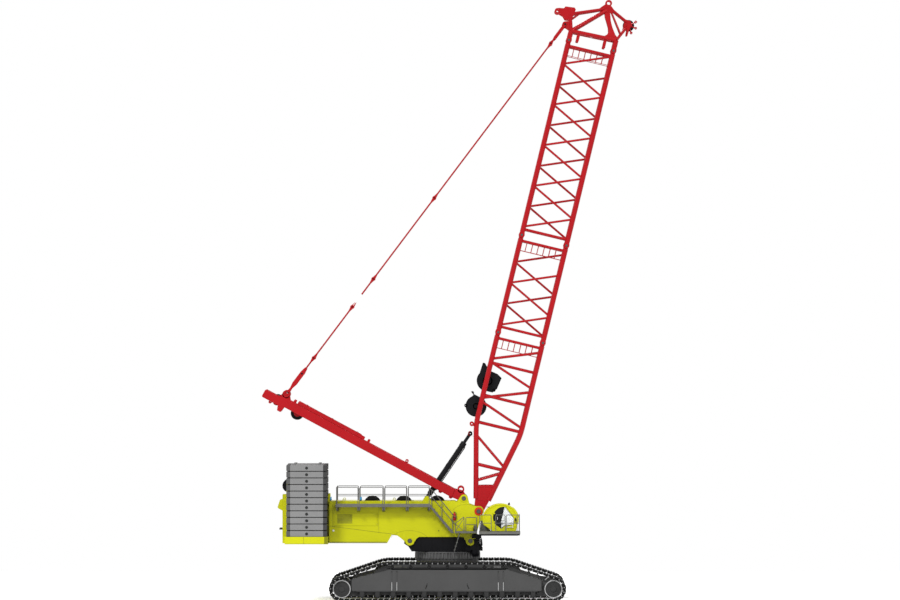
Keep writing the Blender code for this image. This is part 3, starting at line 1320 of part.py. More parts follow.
# ================================================================ stays and backstops
def stay_route():
    """Both ends of the main stay: its eye at the boom head and its eye on the mast."""
    return BOOM.flat(*HEAD_PIVOT), MAST.flat(*MAST_STAY_LUG)


def main_stay(side):
    """Rod with eyes from the boom head down to two plates beside the mast's lug."""
    head, foot = stay_route()
    length = math.dist(head, foot)
    line = Frame(foot, math.atan2(head[1] - foot[1], head[0] - foot[0]))
    y = side * BOOM_HALF_WIDTH
    lug = STAY_LUG_HALF + RUN
    outer = lug + STAY_PLATE
    span_through = (y - 0.5, y + 0.5)
    pieces = []
    for way in (-1, 1):
        span = (y + way * lug, y + way * outer)
        low = [*arc((0, 0), STAY_EYE_RADIUS, 90, 270, 5), (0.45, -0.06), (0.85, -0.10), (1.90, -0.12),
               (1.90, 0.12), (0.85, 0.10), (0.45, 0.06)]
        pieces.append(carve(line.plate(low, span), [disc(*foot, STAY_BORE_RADIUS, span_through, 10)]))
        top = [*arc((length, 0), 0.12, -90, 90, 4), (length - 1.05, 0.09), (length - 1.05, -0.09)]
        pieces.append(line.plate(top, span))
    # spacer blocks close the two plate pairs, and carry the rod
    for low, high in ((1.45, 1.95), (length - 1.10, length - 0.75)):
        spacer = [(low, -0.08), (high, -0.08), (high, 0.08), (low, 0.08)]
        pieces.append(line.plate(spacer, (y - outer, y + outer)))
    start, end = line.flat(1.70, 0), line.flat(length - 0.90, 0)
    pieces.append(tube((start[0], y, start[1]), (end[0], y, end[1]), STAY_ROD_RADIUS))
    for spot in (2.72, 6.55, 8.65, 14.72):
        rear, front = spot - 0.22, spot + 0.22
        eye = [(rear, -0.04), (spot, -0.09), (front, -0.04), (front, 0.04), (spot, 0.09), (rear, 0.04)]
        pieces.append(line.plate(eye, (y - 0.06, y + 0.06)))
    pieces.append(pin(*head, STAY_PIN_RADIUS, (y - outer - 0.02, y + outer + 0.02)))
    return fuse(pieces)


def backstop_line():
    head = BOOM.flat(*BACKSTOP_HEAD)
    foot = BACKSTOP_FOOT
    return Frame(foot, math.atan2(head[1] - foot[1], head[0] - foot[0])), math.dist(head, foot)


def backstop_barrel(side):
    """Cylinder barrel, hollow from its open end, with the eye at its foot."""
    line, _ = backstop_line()
    y = side * BACKSTOP_Y
    start, end = line.flat(0.28, 0), line.flat(BARREL_LENGTH, 0)
    barrel = tube((start[0], y, start[1]), (end[0], y, end[1]), BARREL_RADIUS, ROUND)
    eye = line.plate([*arc((0, 0), BACKSTOP_EYE_RADIUS, 90, 270, 8), (0.35, -0.10), (0.35, 0.10)],
                     (y - BACKSTOP_EYE_HALF, y + BACKSTOP_EYE_HALF))
    inner, beyond = line.flat(0.40, 0), line.flat(BARREL_LENGTH + 0.5, 0)
    bore = tube((inner[0], y, inner[1]), (beyond[0], y, beyond[1]), ROD_RADIUS + GAP, ROUND)
    pin_hole = pin_bore(*BACKSTOP_FOOT, BACKSTOP_PIN_RADIUS, (y - 0.5, y + 0.5))
    return carve(fuse([barrel, eye]), [bore, pin_hole])


def backstop_rod(side):
    """Rod that slides in the barrel; its eye lies between the boom's lug plates."""
    line, length = backstop_line()
    y = side * BACKSTOP_Y
    start, end = line.flat(0.85, 0), line.flat(length - 0.08, 0)
    rod = tube((start[0], y, start[1]), (end[0], y, end[1]), ROD_RADIUS, ROUND)
    neck, neck_half = length - 0.22, 0.085
    outline = [(neck, -neck_half), (neck, neck_half), *arc((length, 0), BACKSTOP_EYE_RADIUS, 90, -90, 8)]
    return fuse([rod, line.plate(outline, (y - ROD_RADIUS, y + ROD_RADIUS))])


# ================================================================ assembly
def build():
    ground = add_body("undercarriage")
    add_node("carbody", carbody(), "frame_grey", ground)
    add_node("slewing_ring", slewing_ring(), "frame_grey", ground)
    sides = {"right": -1, "left": 1}
    for name, side in sides.items():
        add_node("crawler_frame_" + name, crawler_frame(side), "frame_grey", ground)
        add_node("track_" + name, track(side), "dark_grey", ground)
        for end, way in (("drive_wheel", -1), ("idler_wheel", 1)):
            axle = (way * WHEEL_BASE / 2, side * TRACK_GAUGE / 2, TRACK_END_RADIUS)
            carrier = add_body(end + "_" + name, axle, ground)
            add_node(end + "_" + name, crawler_wheel(side, way), "dark_grey", carrier)

    upper = add_body("superstructure", (0, 0, RING_TOP), ground)
    add_node("turntable_frame", turntable_frame(), "black_paint", upper)
    add_node("upper_frame", upper_frame(), "lime_paint", upper)
    add_node("engine_block", engine_block(), "black_paint", upper)
    add_node("tail_frame", tail_frame(), "lime_paint", upper)
    for name, side in sides.items():
        add_node("counterweight_stack_" + name, counterweight_stack(side), "slab_grey", upper)
        add_node("walkway_" + name, walkway(side), "rail_grey", upper)
        hinge_x, hinge_y = service_hinge()
        hinge = (hinge_x, -side * hinge_y, (DOOR_BOTTOM + DOOR_TOP) / 2)
        carrier = add_body("service_door_" + name, hinge, upper)
        add_node("service_door_" + name, service_door(side), "lime_paint", carrier)
    add_node("stairs", stairs(), "rail_grey", upper)
    add_node("landing", landing(), "rail_grey", upper)
    add_node("cab_platform", cab_platform(), "rail_grey", upper)
    for number, x in enumerate(DRUM_X, 1):
        name = f"hoist_drum_{number}"
        add_node(name, hoist_drum(x), "black_paint", add_body(name, (x, 0, DRUM_Z), upper))
    winch_x, winch_z = LUFFING_WINCH
    luffing = hoist_drum(winch_x, winch_z, LUFFING_HALF_LENGTH, LUFFING_WINCH_RADIUS, LUFFING_CORE_RADIUS,
                         LUFFING_SHAFT_RADIUS, LUFFING_CHEEK)
    carrier = add_body("luffing_winch", (winch_x, 0, winch_z), upper)
    add_node("luffing_winch_drum", luffing, "black_paint", carrier)

    add_node("cab_shell", cab_shell(), "lime_paint", upper)
    add_node("cab_glass_outer", side_glass("outer"), "clear_glass", upper)
    add_node("cab_glass_inner", side_glass("inner"), "clear_glass", upper)
    add_node("windscreen", windscreen(), "clear_glass", upper)
    add_node("operator_seat", operator_seat(), "seat_cloth", upper)
    add_node("control_console", control_console(), "black_paint", upper)
    door_hinge = (*cab_hinge(), WINDOW_CENTRE[1])
    add_node("cab_door", cab_door(), "tinted", add_body("cab_door", door_hinge, upper))

    boom_x, boom_z = BOOM_PIN
    boom = add_body("boom", (boom_x, 0, boom_z), upper)
    add_node("boom_foot", boom_foot(), "red_paint", boom)
    short = insert_section(FOOT_LENGTH, SHORT_LENGTH, SHORT_LACING)
    add_node("boom_insert_short", short, "red_paint", boom)
    long = insert_section(FOOT_LENGTH + SHORT_LENGTH, LONG_LENGTH, LONG_LACING)
    add_node("boom_insert_long", long, "red_paint", boom)
    add_node("boom_head", boom_head(), "red_paint", boom)
    for name, winch, tie in zip(("upper", "lower"), (UPPER_WINCH, LOWER_WINCH), winch_ties()):
        add_node(f"boom_winch_frame_{name}", boom_winch_frame(winch, tie), "black_paint", boom)
        x, z = BOOM.flat(winch[0], winch[1])
        carrier = add_body(f"boom_winch_drum_{name}", (x, 0, z), boom)
        add_node(f"boom_winch_drum_{name}", boom_winch_drum(winch), "black_paint", carrier)
    x, z = BOOM.flat(*NOSE_AXLE)
    add_node("nose_sheave", nose_sheave(), "black_paint", add_body("nose_sheave", (x, 0, z), boom))

    mast_x, mast_z = MAST_PIN
    mast = add_body("mast", (mast_x, 0, mast_z), upper)
    add_node("mast_frame", mast_frame(), "red_paint", mast)
    for name, (s, v, radius) in zip(("outer", "inner"), MAST_SHEAVES):
        x, z = MAST.flat(s, v)
        carrier = add_body("mast_sheaves_" + name, (x, 0, z), mast)
        add_node("mast_sheaves_" + name, mast_sheaves(s, v, radius), "black_paint", carrier)
    head, _ = stay_route()
    stays = add_body("main_stays", (head[0], 0, head[1]), boom)
    foot_x, foot_z = BACKSTOP_FOOT
    barrels = add_body("backstop_barrels", (foot_x, 0, foot_z), upper)
    rods = add_body("backstop_rods", (foot_x, 0, foot_z), barrels)
    for name, side in sides.items():
        add_node("stored_bar_" + name, stored_bar(side), "red_paint", mast)
        add_node("main_stay_" + name, main_stay(side), "red_paint", stays)
        add_node("backstop_barrel_" + name, backstop_barrel(side), "black_paint", barrels)
        add_node("backstop_rod_" + name, backstop_rod(side), "steel", rods)


clear_scene()
MATERIALS = make_materials()
build()
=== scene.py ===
"""Looks of the crawler crane: painted lattice boom and mast, tracks, superstructure, cab and rails.

Each new piece is a surface worked out with numpy, and rides on the body that carries it.
"""
import json
import math

import bmesh
import bpy
import numpy as np
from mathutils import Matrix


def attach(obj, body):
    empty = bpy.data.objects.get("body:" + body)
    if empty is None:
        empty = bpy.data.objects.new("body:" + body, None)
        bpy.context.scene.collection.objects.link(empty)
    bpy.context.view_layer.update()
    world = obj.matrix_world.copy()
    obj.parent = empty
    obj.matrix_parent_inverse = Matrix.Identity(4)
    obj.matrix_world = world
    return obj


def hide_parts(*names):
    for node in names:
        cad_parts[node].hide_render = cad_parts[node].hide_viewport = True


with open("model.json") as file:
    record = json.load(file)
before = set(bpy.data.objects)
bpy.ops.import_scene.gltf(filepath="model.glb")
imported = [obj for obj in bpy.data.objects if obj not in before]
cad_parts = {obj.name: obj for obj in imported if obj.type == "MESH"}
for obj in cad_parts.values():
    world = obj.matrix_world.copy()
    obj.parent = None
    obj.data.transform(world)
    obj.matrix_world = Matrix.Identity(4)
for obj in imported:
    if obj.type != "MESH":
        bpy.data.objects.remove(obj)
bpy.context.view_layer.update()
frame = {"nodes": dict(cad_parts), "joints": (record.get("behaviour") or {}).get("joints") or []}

PIVOT = {joint["name"]: np.array(joint["pos_m"], float) for joint in frame["joints"] if "pos_m" in joint}
SIDES = {"right": -1, "left": 1}
X_AXIS, Y_AXIS, Z_AXIS = np.eye(3)


# ================================================================ finishes
def soft_noise(tree, scale, detail, seat):
    """Noise of the object's own coordinates, so it stays with the piece as it moves."""
    noise = tree.nodes.new("ShaderNodeTexNoise")
    noise.inputs["Scale"].default_value = scale
    noise.inputs["Detail"].default_value = detail
    noise.inputs["Roughness"].default_value = 0.6
    tree.links.new(seat.outputs["Object"], noise.inputs["Vector"])
    return noise


def tone_ramp(tree, source, stops):
    """Colour by height of the noise; stops are (place, colour)."""
    ramp = tree.nodes.new("ShaderNodeValToRGB")
    band = ramp.color_ramp
    while len(band.elements) < len(stops):
        band.elements.new(0.5)
    for element, (place, colour) in zip(band.elements, stops):
        element.position = place
        element.color = (*colour, 1.0)
    tree.links.new(source.outputs["Fac"], ramp.inputs["Fac"])
    return ramp


def finish(name, colour, patch=0.05, patch_scale=0.7, rough=(0.30, 0.42), grain_scale=45.0,
           bump=0.04, metallic=0.0, coat=0.0, worn=None, specular=0.12):
    """A surface with cloudy tone, uneven gloss and fine grain; worn adds patches of a second colour."""
    entry = bpy.data.materials.new(name)
    entry.use_nodes = True
    tree = entry.node_tree
    shader = tree.nodes["Principled BSDF"]
    seat = tree.nodes.new("ShaderNodeTexCoord")
    colour = np.array(colour, float)
    cloud = soft_noise(tree, patch_scale, 6.0, seat)
    stops = [(0.30, colour * (1 - patch)), (0.50, colour), (0.72, np.minimum(colour * (1 + patch), 1.0))]
    if worn is not None:
        stops.append((0.86, np.array(worn, float)))
    tone = tone_ramp(tree, cloud, stops)
    tree.links.new(tone.outputs["Color"], shader.inputs["Base Color"])
    grain = soft_noise(tree, grain_scale, 4.0, seat)
    gloss = tree.nodes.new("ShaderNodeMapRange")
    gloss.inputs["To Min"].default_value, gloss.inputs["To Max"].default_value = rough
    tree.links.new(grain.outputs["Fac"], gloss.inputs["Value"])
    tree.links.new(gloss.outputs["Result"], shader.inputs["Roughness"])
    relief = tree.nodes.new("ShaderNodeBump")
    relief.inputs["Strength"].default_value = bump
    relief.inputs["Distance"].default_value = 0.01
    tree.links.new(grain.outputs["Fac"], relief.inputs["Height"])
    tree.links.new(relief.outputs["Normal"], shader.inputs["Normal"])
    shader.inputs["Metallic"].default_value = metallic
    shader.inputs["Coat Weight"].default_value = coat
    shader.inputs["Specular IOR Level"].default_value = specular
    return entry


def glass(name, tint, rough, alpha):
    """Clear or smoked pane with a faint film that clouds its gloss."""
    entry = finish(name, tint, patch=0.03, patch_scale=2.0, rough=(rough, rough + 0.03), bump=0.0)
    entry.node_tree.nodes["Principled BSDF"].inputs["Alpha"].default_value = alpha
    return entry


FINISHES = {
    "lime": (finish("lime_enamel", (0.415, 0.418, 0.003), 0.035, 0.5, (0.30, 0.40), coat=0.05), "lime_paint"),
    # lime darkened as painted shade, for the front end of the counterweight tray
    "lime_dark": (finish("lime_enamel_shaded", (0.15, 0.155, 0.004), 0.05, 0.8), "lime_paint"),
    "red": (finish("red_enamel", (0.285, 0.003, 0.006), 0.06, 0.8, (0.26, 0.38), coat=0.05), "red_paint"),
    "red_orange": (finish("orange_ring_enamel", (0.42, 0.030, 0.008), 0.05, 3.0), "red_paint"),
    "black": (finish("black_enamel", (0.005, 0.005, 0.006), 0.15, 1.4, (0.34, 0.50), specular=0.08),
              "black_paint"),
    "dark_trim": (finish("dark_trim_enamel", (0.020, 0.021, 0.020), 0.10, 1.5, (0.40, 0.55)), "black_paint"),
    "frame": (finish("crawler_enamel", (0.048, 0.048, 0.048), 0.08, 0.6, (0.45, 0.60)), "frame_grey"),
    "track": (finish("shoe_steel", (0.014, 0.014, 0.014), 0.25, 5.0, (0.35, 0.60), 30, 0.12, 0.45,
                     worn=(0.070, 0.068, 0.065)), "dark_grey"),
    # pale steel grey as a painted highlight on the dark grey track pins, wheel rims and frame rib edges
    "bright_edge": (finish("rubbed_steel", (0.33, 0.33, 0.33), 0.15, 6.0, (0.28, 0.45), 60, 0.05, 0.6),
                    "dark_grey"),
    "wheel": (finish("wheel_casting", (0.024, 0.024, 0.024), 0.12, 2.5, (0.45, 0.65), 40, 0.15), "dark_grey"),
    "ring": (finish("ring_steel", (0.110, 0.110, 0.110), 0.15, 3.0, (0.35, 0.55), 40, 0.08, 0.4),
             "frame_grey"),
    "slab": (finish("slab_casting", (0.165, 0.165, 0.165), 0.05, 0.9, (0.60, 0.80), 35, 0.15), "slab_grey"),
    # slab grey darkened as painted shade for the slab ends, more at the front than at the rear
    "slab_front": (finish("slab_band_front", (0.036, 0.036, 0.036), 0.10, 1.2, (0.55, 0.75), 35, 0.12),
                   "slab_grey"),
    "slab_rear": (finish("slab_band_rear", (0.070, 0.070, 0.070), 0.10, 1.2, (0.55, 0.75), 35, 0.12),
                  "slab_grey"),
    "rail": (finish("galvanised_tube", (0.095, 0.095, 0.090), 0.10, 6.0, (0.38, 0.52), 70, 0.05, 0.35),
             "rail_grey"),
    "deck": (finish("galvanised_deck", (0.105, 0.105, 0.095), 0.12, 3.0, (0.45, 0.62), 60, 0.10, 0.25),
             "rail_grey"),
    "pale_steel": (finish("zinc_link", (0.78, 0.78, 0.76), 0.04, 4.0, (0.30, 0.42), 50, 0.03, 0.35), "steel"),
    "pin": (finish("pin_steel", (0.080, 0.080, 0.080), 0.10, 8.0, (0.30, 0.45), 60, 0.05, 0.6), "steel"),
    "chrome": (finish("rod_chrome", (0.50, 0.50, 0.50), 0.04, 6.0, (0.10, 0.18), 80, 0.01, 1.0), "steel"),
    "rope": (finish("rope_wire", (0.13, 0.12, 0.11), 0.20, 30.0, (0.40, 0.55), 120, 0.25, 0.7), "steel"),
    "tinted": (glass("smoked_pane", (0.010, 0.010, 0.011), 0.06, 1.0), "tinted"),
    "clear": (glass("clear_pane", (0.80, 0.84, 0.83), 0.03, 0.22), "clear_glass"),
    "seat": (finish("seat_fabric", (0.030, 0.030, 0.034), 0.20, 25.0, (0.80, 0.95), 300, 0.30), "seat_cloth"),
    "lens": (finish("beacon_lens", (0.02, 0.25, 0.55), 0.05, 8.0, (0.10, 0.20), coat=0.5), "clear_glass"),
    "lamp": (finish("lamp_lens", (0.75, 0.75, 0.72), 0.05, 8.0, (0.10, 0.20), coat=0.5), "clear_glass"),
    "bottle": (finish("extinguisher_enamel", (0.30, 0.012, 0.016), 0.10, 6.0, (0.30, 0.42)), "red_paint"),
    "hose": (finish("hose_rubber", (0.018, 0.018, 0.018), 0.15, 12.0, (0.60, 0.80), 90, 0.12), "black_paint"),
    "olive": (finish("console_moulding", (0.10, 0.11, 0.02), 0.10, 8.0, (0.55, 0.70), 120, 0.15),
              "black_paint"),
}


# ================================================================ surfaces
def side_on(a, b, c):
    """Outline in X and Z, thickness along Y."""
    return np.stack(np.broadcast_arrays(a, c, b), axis=-1).astype(float)


def end_on(a, b, c):
    """Outline in Y and Z, thickness along X."""
    return np.stack(np.broadcast_arrays(c, a, b), axis=-1).astype(float)


def on_plan(a, b, c):
    """Outline in X and Y, thickness along Z."""
    return np.stack(np.broadcast_arrays(a, b, c), axis=-1).astype(float)


class Member:
    """Flat axes of a boom, mast or stay in the side plane: u along it, v across it."""

    def __init__(self, origin, angle):
        self.origin = np.array(origin, float)
        self.along = np.array([math.cos(angle), 0.0, math.sin(angle)])
        self.across = np.array([math.sin(angle), 0.0, -math.cos(angle)])

    def __call__(self, u, v, y):
        u, v, y = (np.asarray(part, float)[..., None] for part in (u, v, y))
        return self.origin + u * self.along + v * self.across + y * Y_AXIS

    def bar(self, start, end, radius, sides=14):
        """Round bar between two (along, across, y) places."""
        return self.bars([(start, end)], radius, sides)

    def bars(self, pairs, radius, sides=14):
        """Round bars between pairs of (along, across, y) places."""
        starts, ends = np.array(pairs, float).transpose(1, 2, 0)
        return bars(self(*starts), self(*ends), radius, sides)

    def plate(self, outline, low, high, rim=0.008):
        """A plate whose outline is given along and across the member."""
        return plate(outline, low, high, self, rim)


def loft(rings, loop=False):
    """Grid surface: point (i, j) is place j of ring i; flat caps close the two ends unless it loops.
    A fourth axis in front holds copies."""
    rings = np.asarray(rings, float)
    rings = rings[None] if rings.ndim == 3 else rings
    copies, count, around, _ = rings.shape
    index = np.arange(copies * count * around).reshape(copies, count, around)
    first = index if loop else index[:, :-1]
    second = np.roll(index, -1, axis=1) if loop else index[:, 1:]
    quads = np.stack([first, np.roll(first, -1, 2), np.roll(second, -1, 2), second], axis=-1)
    faces = quads.reshape(-1, 4).tolist()
    if not loop:
        faces += np.concatenate([index[:, 0, ::-1], index[:, -1]]).tolist()
    return rings.reshape(-1, 3), faces


def drawn_in(outline, amount):
    """Each corner moves inwards along the mean of its two edges' normals."""
    edges = np.roll(outline, -1, axis=0) - outline
    normals = np.stack([-edges[:, 1], edges[:, 0]], axis=1)
    normals /= np.linalg.norm(normals, axis=1, keepdims=True)
    area = np.sum(outline[:, 0] * np.roll(outline[:, 1], -1) - np.roll(outline[:, 0], -1) * outline[:, 1])
    normals *= np.sign(area)
    before = np.roll(normals, 1, axis=0)
    spread = 1 + np.sum(before * normals, axis=1, keepdims=True)
    return outline + amount * (before + normals) / np.maximum(spread, 0.3)


def plate(outline, low, high, place=side_on, rim=0.008):
    """Outline carried through a thickness; its first and last copies are drawn in, which rounds the rim."""
    outline = np.asarray(outline, float)
    low, high = min(low, high), max(low, high)
    rim = min(rim, (high - low) / 3)
    inner = drawn_in(outline, rim)
    rings = [
        place(shape[:, 0], shape[:, 1], depth)
        for shape, depth in ((inner, low), (outline, low + rim), (outline, high - rim), (inner, high))
    ]
    return loft(rings)


def block(x, y, z, rim=0.012):
    """Box with its corners cut: a chamfered rectangle in X and Z with a rim across Y."""
    (x0, x1), (z0, z1) = sorted(x), sorted(z)
    cut = min(rim, (x1 - x0) / 3, (z1 - z0) / 3)
    outline = [(x0 + cut, z0), (x1 - cut, z0), (x1, z0 + cut), (x1, z1 - cut),
               (x1 - cut, z1), (x0 + cut, z1), (x0, z1 - cut), (x0, z0 + cut)]
    return plate(outline, *y, rim=rim)


def arc(centre, radius, first, last, steps):
    """Points on a circle or an ellipse between two angles in degrees."""
    turn = np.radians(np.linspace(first, last, steps + 1))
    wide, tall = radius if isinstance(radius, tuple) else (radius, radius)
    return np.stack([centre[0] + wide * np.cos(turn), centre[1] + tall * np.sin(turn)], axis=1)


def outline_of(*parts):
    """One outline from points and arcs in turn."""
    return np.concatenate([np.atleast_2d(np.asarray(part, float)) for part in parts])


def mirrored(half):
    """Profile with its mirror image before it; half runs from the middle outwards."""
    return [(-along, radius) for along, radius in reversed(half) if along] + list(half)


def doubled(upper):
    """Outline that is the same on both sides of its centre line, from its upper edge."""
    return [(along, -across) for along, across in reversed(upper)] + list(upper)


def turned(profile, centre, axis=Y_AXIS, sides=40, loop=False):
    """Surface of revolution: (along, radius) carried round an axis through centre."""
    profile = np.asarray(profile, float)
    axis = np.asarray(axis, float) / np.linalg.norm(axis)
    guide = X_AXIS if abs(axis[0]) < 0.7 else Z_AXIS
    first = np.cross(axis, guide)
    first /= np.linalg.norm(first)
    second = np.cross(axis, first)
    turn = np.linspace(0, 2 * np.pi, sides, endpoint=False)
    spokes = np.cos(turn)[:, None] * first + np.sin(turn)[:, None] * second
    rings = np.asarray(centre, float) + profile[:, None, :1] * axis + profile[:, None, 1:] * spokes
    return loft(rings, loop)


def washer(centre, inner, outer, low, high, axis=Y_AXIS, sides=32, rim=0.006):
    """Flat ring: a rectangle with cut corners carried round the axis."""
    low, high = min(low, high), max(low, high)
    rim = min(rim, (high - low) / 3, (outer - inner) / 3)
    profile = [(low, inner + rim), (low, outer - rim), (low + rim, outer), (high - rim, outer),
               (high, outer - rim), (high, inner + rim), (high - rim, inner), (low + rim, inner)]
    return turned(profile, centre, axis, sides, loop=True)


def drum(centre, low, high, radius, axis=Y_AXIS, sides=32, rim=0.008):
    """Short solid cylinder with cut rims."""
    low, high = min(low, high), max(low, high)
    rim = min(rim, (high - low) / 3, radius / 3)
    profile = [(low, radius - rim), (low + rim, radius), (high - rim, radius), (high, radius - rim)]
    return turned(profile, centre, axis, sides)


def circles(places, along, guide, radius, sides):
    """A circle round each place, square to the direction there."""
    first = np.cross(along, guide)
    first /= np.linalg.norm(first, axis=1, keepdims=True)
    second = np.cross(along, first)
    turn = np.linspace(0, 2 * np.pi, sides, endpoint=False)[:, None]
    radius = np.broadcast_to(np.asarray(radius, float), len(places))[:, None, None]
    return places[:, None] + radius * (first[:, None] * np.cos(turn) + second[:, None] * np.sin(turn))


def bars(starts, ends, radius, sides=14):
    """Many straight round bars at once: a circle square to each line, at its start and at its end."""
    starts, ends = np.asarray(starts, float).reshape(-1, 3), np.asarray(ends, float).reshape(-1, 3)
    along = ends - starts
    along /= np.linalg.norm(along, axis=1, keepdims=True)
    guide = np.where(np.abs(along[:, 1:2]) > 0.9, X_AXIS, Y_AXIS)
    return loft(np.stack([circles(places, along, guide, radius, sides) for places in (starts, ends)], axis=1))


def bar(start, end, radius, sides=14):
    return bars([start], [end], radius, sides)


def radial_bars(centre, count, inner, outer, offset, radius, sides):
    """Bars from one radius out to another, evenly round a circle square to Y that stands off its centre."""
    turn = np.linspace(0, 2 * np.pi, count, endpoint=False)
    rays = np.stack([np.cos(turn), np.zeros(count), np.sin(turn)], axis=1)
    middle = centre + offset * Y_AXIS
    return bars(middle + inner * rays, middle + outer * rays, radius, sides)


def sweep(path, radius, sides=12, loop=False):
    """Round tube: a circle carried along a path, kept square to it; the radius may vary along it."""
    path = np.asarray(path, float)
    if loop:
        step = np.roll(path, -1, axis=0) - np.roll(path, 1, axis=0)
    else:
        step = np.gradient(path, axis=0)
    along = step / np.linalg.norm(step, axis=1, keepdims=True)
    guide = np.eye(3)[np.argmin(np.abs(along).max(axis=0))]
    return loft(circles(path, along, guide, radius, sides), loop)


def eased(points, reach, steps=4):
    """A path whose inner corners are parabolas that start and end within reach of the corner."""
    points = np.asarray(points, float)
    path = [points[:1]]
    t = np.linspace(0, 1, steps + 1)[:, None]
    for before, corner, after in zip(points, points[1:], points[2:]):
        into, out = before - corner, after - corner
        a = corner + into * min(0.45, reach / np.linalg.norm(into))
        b = corner + out * min(0.45, reach / np.linalg.norm(out))
        path.append((1 - t) ** 2 * a + 2 * t * (1 - t) * corner + t ** 2 * b)
    path.append(points[-1:])
    return np.concatenate(path)


def bolt_ring(centre, radius, count, size, height, axis=Y_AXIS, phase=0.0):
    """Hexagon heads evenly round a circle, standing on the plane through centre."""
    axis = np.asarray(axis, float)
    guide = X_AXIS if abs(axis[0]) < 0.7 else Z_AXIS
    first = np.cross(axis, guide)
    second = np.cross(axis, first)
    turn = np.linspace(0, 2 * np.pi, count, endpoint=False) + phase
    seats = centre + radius * (np.cos(turn)[:, None] * first + np.sin(turn)[:, None] * second)
    return bars(seats, seats + height * axis, size, 6)


def piece(name, shapes, look, body, replaces=(), crease=35):
    """Joins shapes into one mesh with outward faces, and rides it on its body."""
    points, faces, offset = [], [], 0
    for shape_points, shape_faces in shapes:
        points.append(shape_points)
        faces += [[corner + offset for corner in face] for face in shape_faces]
        offset += len(shape_points)
    mesh = bpy.data.meshes.new(name)
    mesh.from_pydata(np.concatenate(points).tolist(), [], faces)
    shape = bmesh.new()
    shape.from_mesh(mesh)
    bmesh.ops.recalc_face_normals(shape, faces=shape.faces)
    shape.to_mesh(mesh)
    shape.free()
    material, slot = FINISHES[look]
    mesh.materials.append(material)
    mesh.shade_smooth()
    mesh.set_sharp_from_angle(angle=math.radians(crease))
    thing = bpy.data.objects.new(name, mesh)
    bpy.context.scene.collection.objects.link(thing)
    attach(thing, body)
    if replaces:
        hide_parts(*replaces)
    return thing


# ================================================================ boom
BOOM = Member(PIVOT["boom_luff"], math.radians(76.4))
HALF_DEPTH, HALF_WIDTH = 1.375, 1.40     # chord centre lines, across and sideways
CORNERS = [(face * HALF_DEPTH, side * HALF_WIDTH) for face in (-1, 1) for side in (-1, 1)]
FOOT_END, SHORT_END, LONG_END = 10.70, 16.70, 28.70
CHORD, NECK, LACE, BRACE = 0.150, 0.10, 0.066, 0.082
NECK_START, NECK_END = 0.16, 0.22        # a chord narrows between these distances from its joint
LACE_RISE, LACE_FALL = 1.10, 1.40        # how far a lacing bar climbs or drops along the boom
PERP_OFFSET = 0.35                       # end frames stand this far from each joint
BACKSTOP_EYE, BACKSTOP_Y = (4.39, -1.57), 0.90
STAY_EYE = (29.56, -1.82)
UPPER_WINCH, LOWER_WINCH = (7.72, -1.31, 0.65), (6.07, -1.62, 0.63)    # along, across, cheek radius
WINCH_HALF = 1.02


def end_frame(u):
    """Four bars round the boom, square to it."""
    d, w = HALF_DEPTH, HALF_WIDTH
    pairs = [((u, -d, y), (u, d, y)) for y in (-w, w)]
    pairs += [((u, v, -w), (u, v, w)) for v in (-d, d)]
    return [BOOM.bars(pairs, BRACE)]


def lacing(nodes, low, high):
    """Zigzag bars on all four faces; the nodes lie in turn on the right and on the left back chord."""
    d, w = HALF_DEPTH, HALF_WIDTH
    pairs = []
    for k, u in enumerate(nodes):
        side = w if k % 2 else -w
        if u + LACE_RISE <= high:
            pairs.append(((u, -d, side), (u + LACE_RISE, d, side)))
        if u - LACE_FALL >= low:
            pairs.append(((u, -d, side), (u - LACE_FALL, d, side)))
        if k + 1 < len(nodes):
            after = nodes[k + 1]
            pairs.append(((u, -d, side), (after, -d, -side)))
            if after + LACE_RISE <= high:
                pairs.append(((u + LACE_RISE, d, side), (after + LACE_RISE, d, -side)))
    return BOOM.bars(pairs, LACE)


def chord_joint(u):
    """Pinned joint of two sections on all four chords: fork plates round an ear, and the pin."""
    shapes, pins = [], []
    for v, y in CORNERS:
        ear = outline_of((u - 0.30, v - 0.10), arc((u, v), 0.17, -90, 90, 8), (u - 0.30, v + 0.10))
        cheek = outline_of((u + 0.32, v + 0.11), arc((u, v), 0.175, 90, 270, 8), (u + 0.32, v - 0.11))
        shapes.append(BOOM.plate(ear, y - 0.05, y + 0.05))
        shapes += [BOOM.plate(cheek, y + way * 0.062, y + way * 0.145) for way in (-1, 1)]
        pins.append(drum(BOOM(u, v, y), -0.175, 0.175, 0.055, sides=20))
        pins.append(drum(BOOM(u, v, y + math.copysign(0.16, y)), -0.02, 0.02, 0.075, sides=6))
    return shapes, pins


def catwalk_rail(top, drop=0.58):
    """Thin posts that hang from an end frame to a thin bar, on both sides of the boom."""
    pairs = []
    for side in (-1, 1):
        y = side * (HALF_WIDTH - 0.02)
        pairs += [((top, v, y), (top - drop, v, y)) for v in np.arange(-0.95, 1.0, 0.36)]
        pairs.append(((top - drop, -HALF_DEPTH, y), (top - drop, HALF_DEPTH, y)))
    return BOOM.bars(pairs, 0.018, 8)


def insert_section(name, node, low, high, first, pitch, count):
    """Straight section: four chords that narrow at the joints, end frames and lacing."""
    steps = np.array([low + NECK_START, low + NECK_END, high - NECK_END, high - NECK_START])
    radii = np.array([NECK, CHORD, CHORD, NECK])
    shapes = [sweep(BOOM(steps, v, y), radii, 24) for v, y in CORNERS]
    nodes = [first + pitch * k for k in range(count)]
    near, far = low + PERP_OFFSET, high - PERP_OFFSET
    piece(name, shapes + end_frame(near) + end_frame(far) + [lacing(nodes, near, far)], "red", "boom", [node])


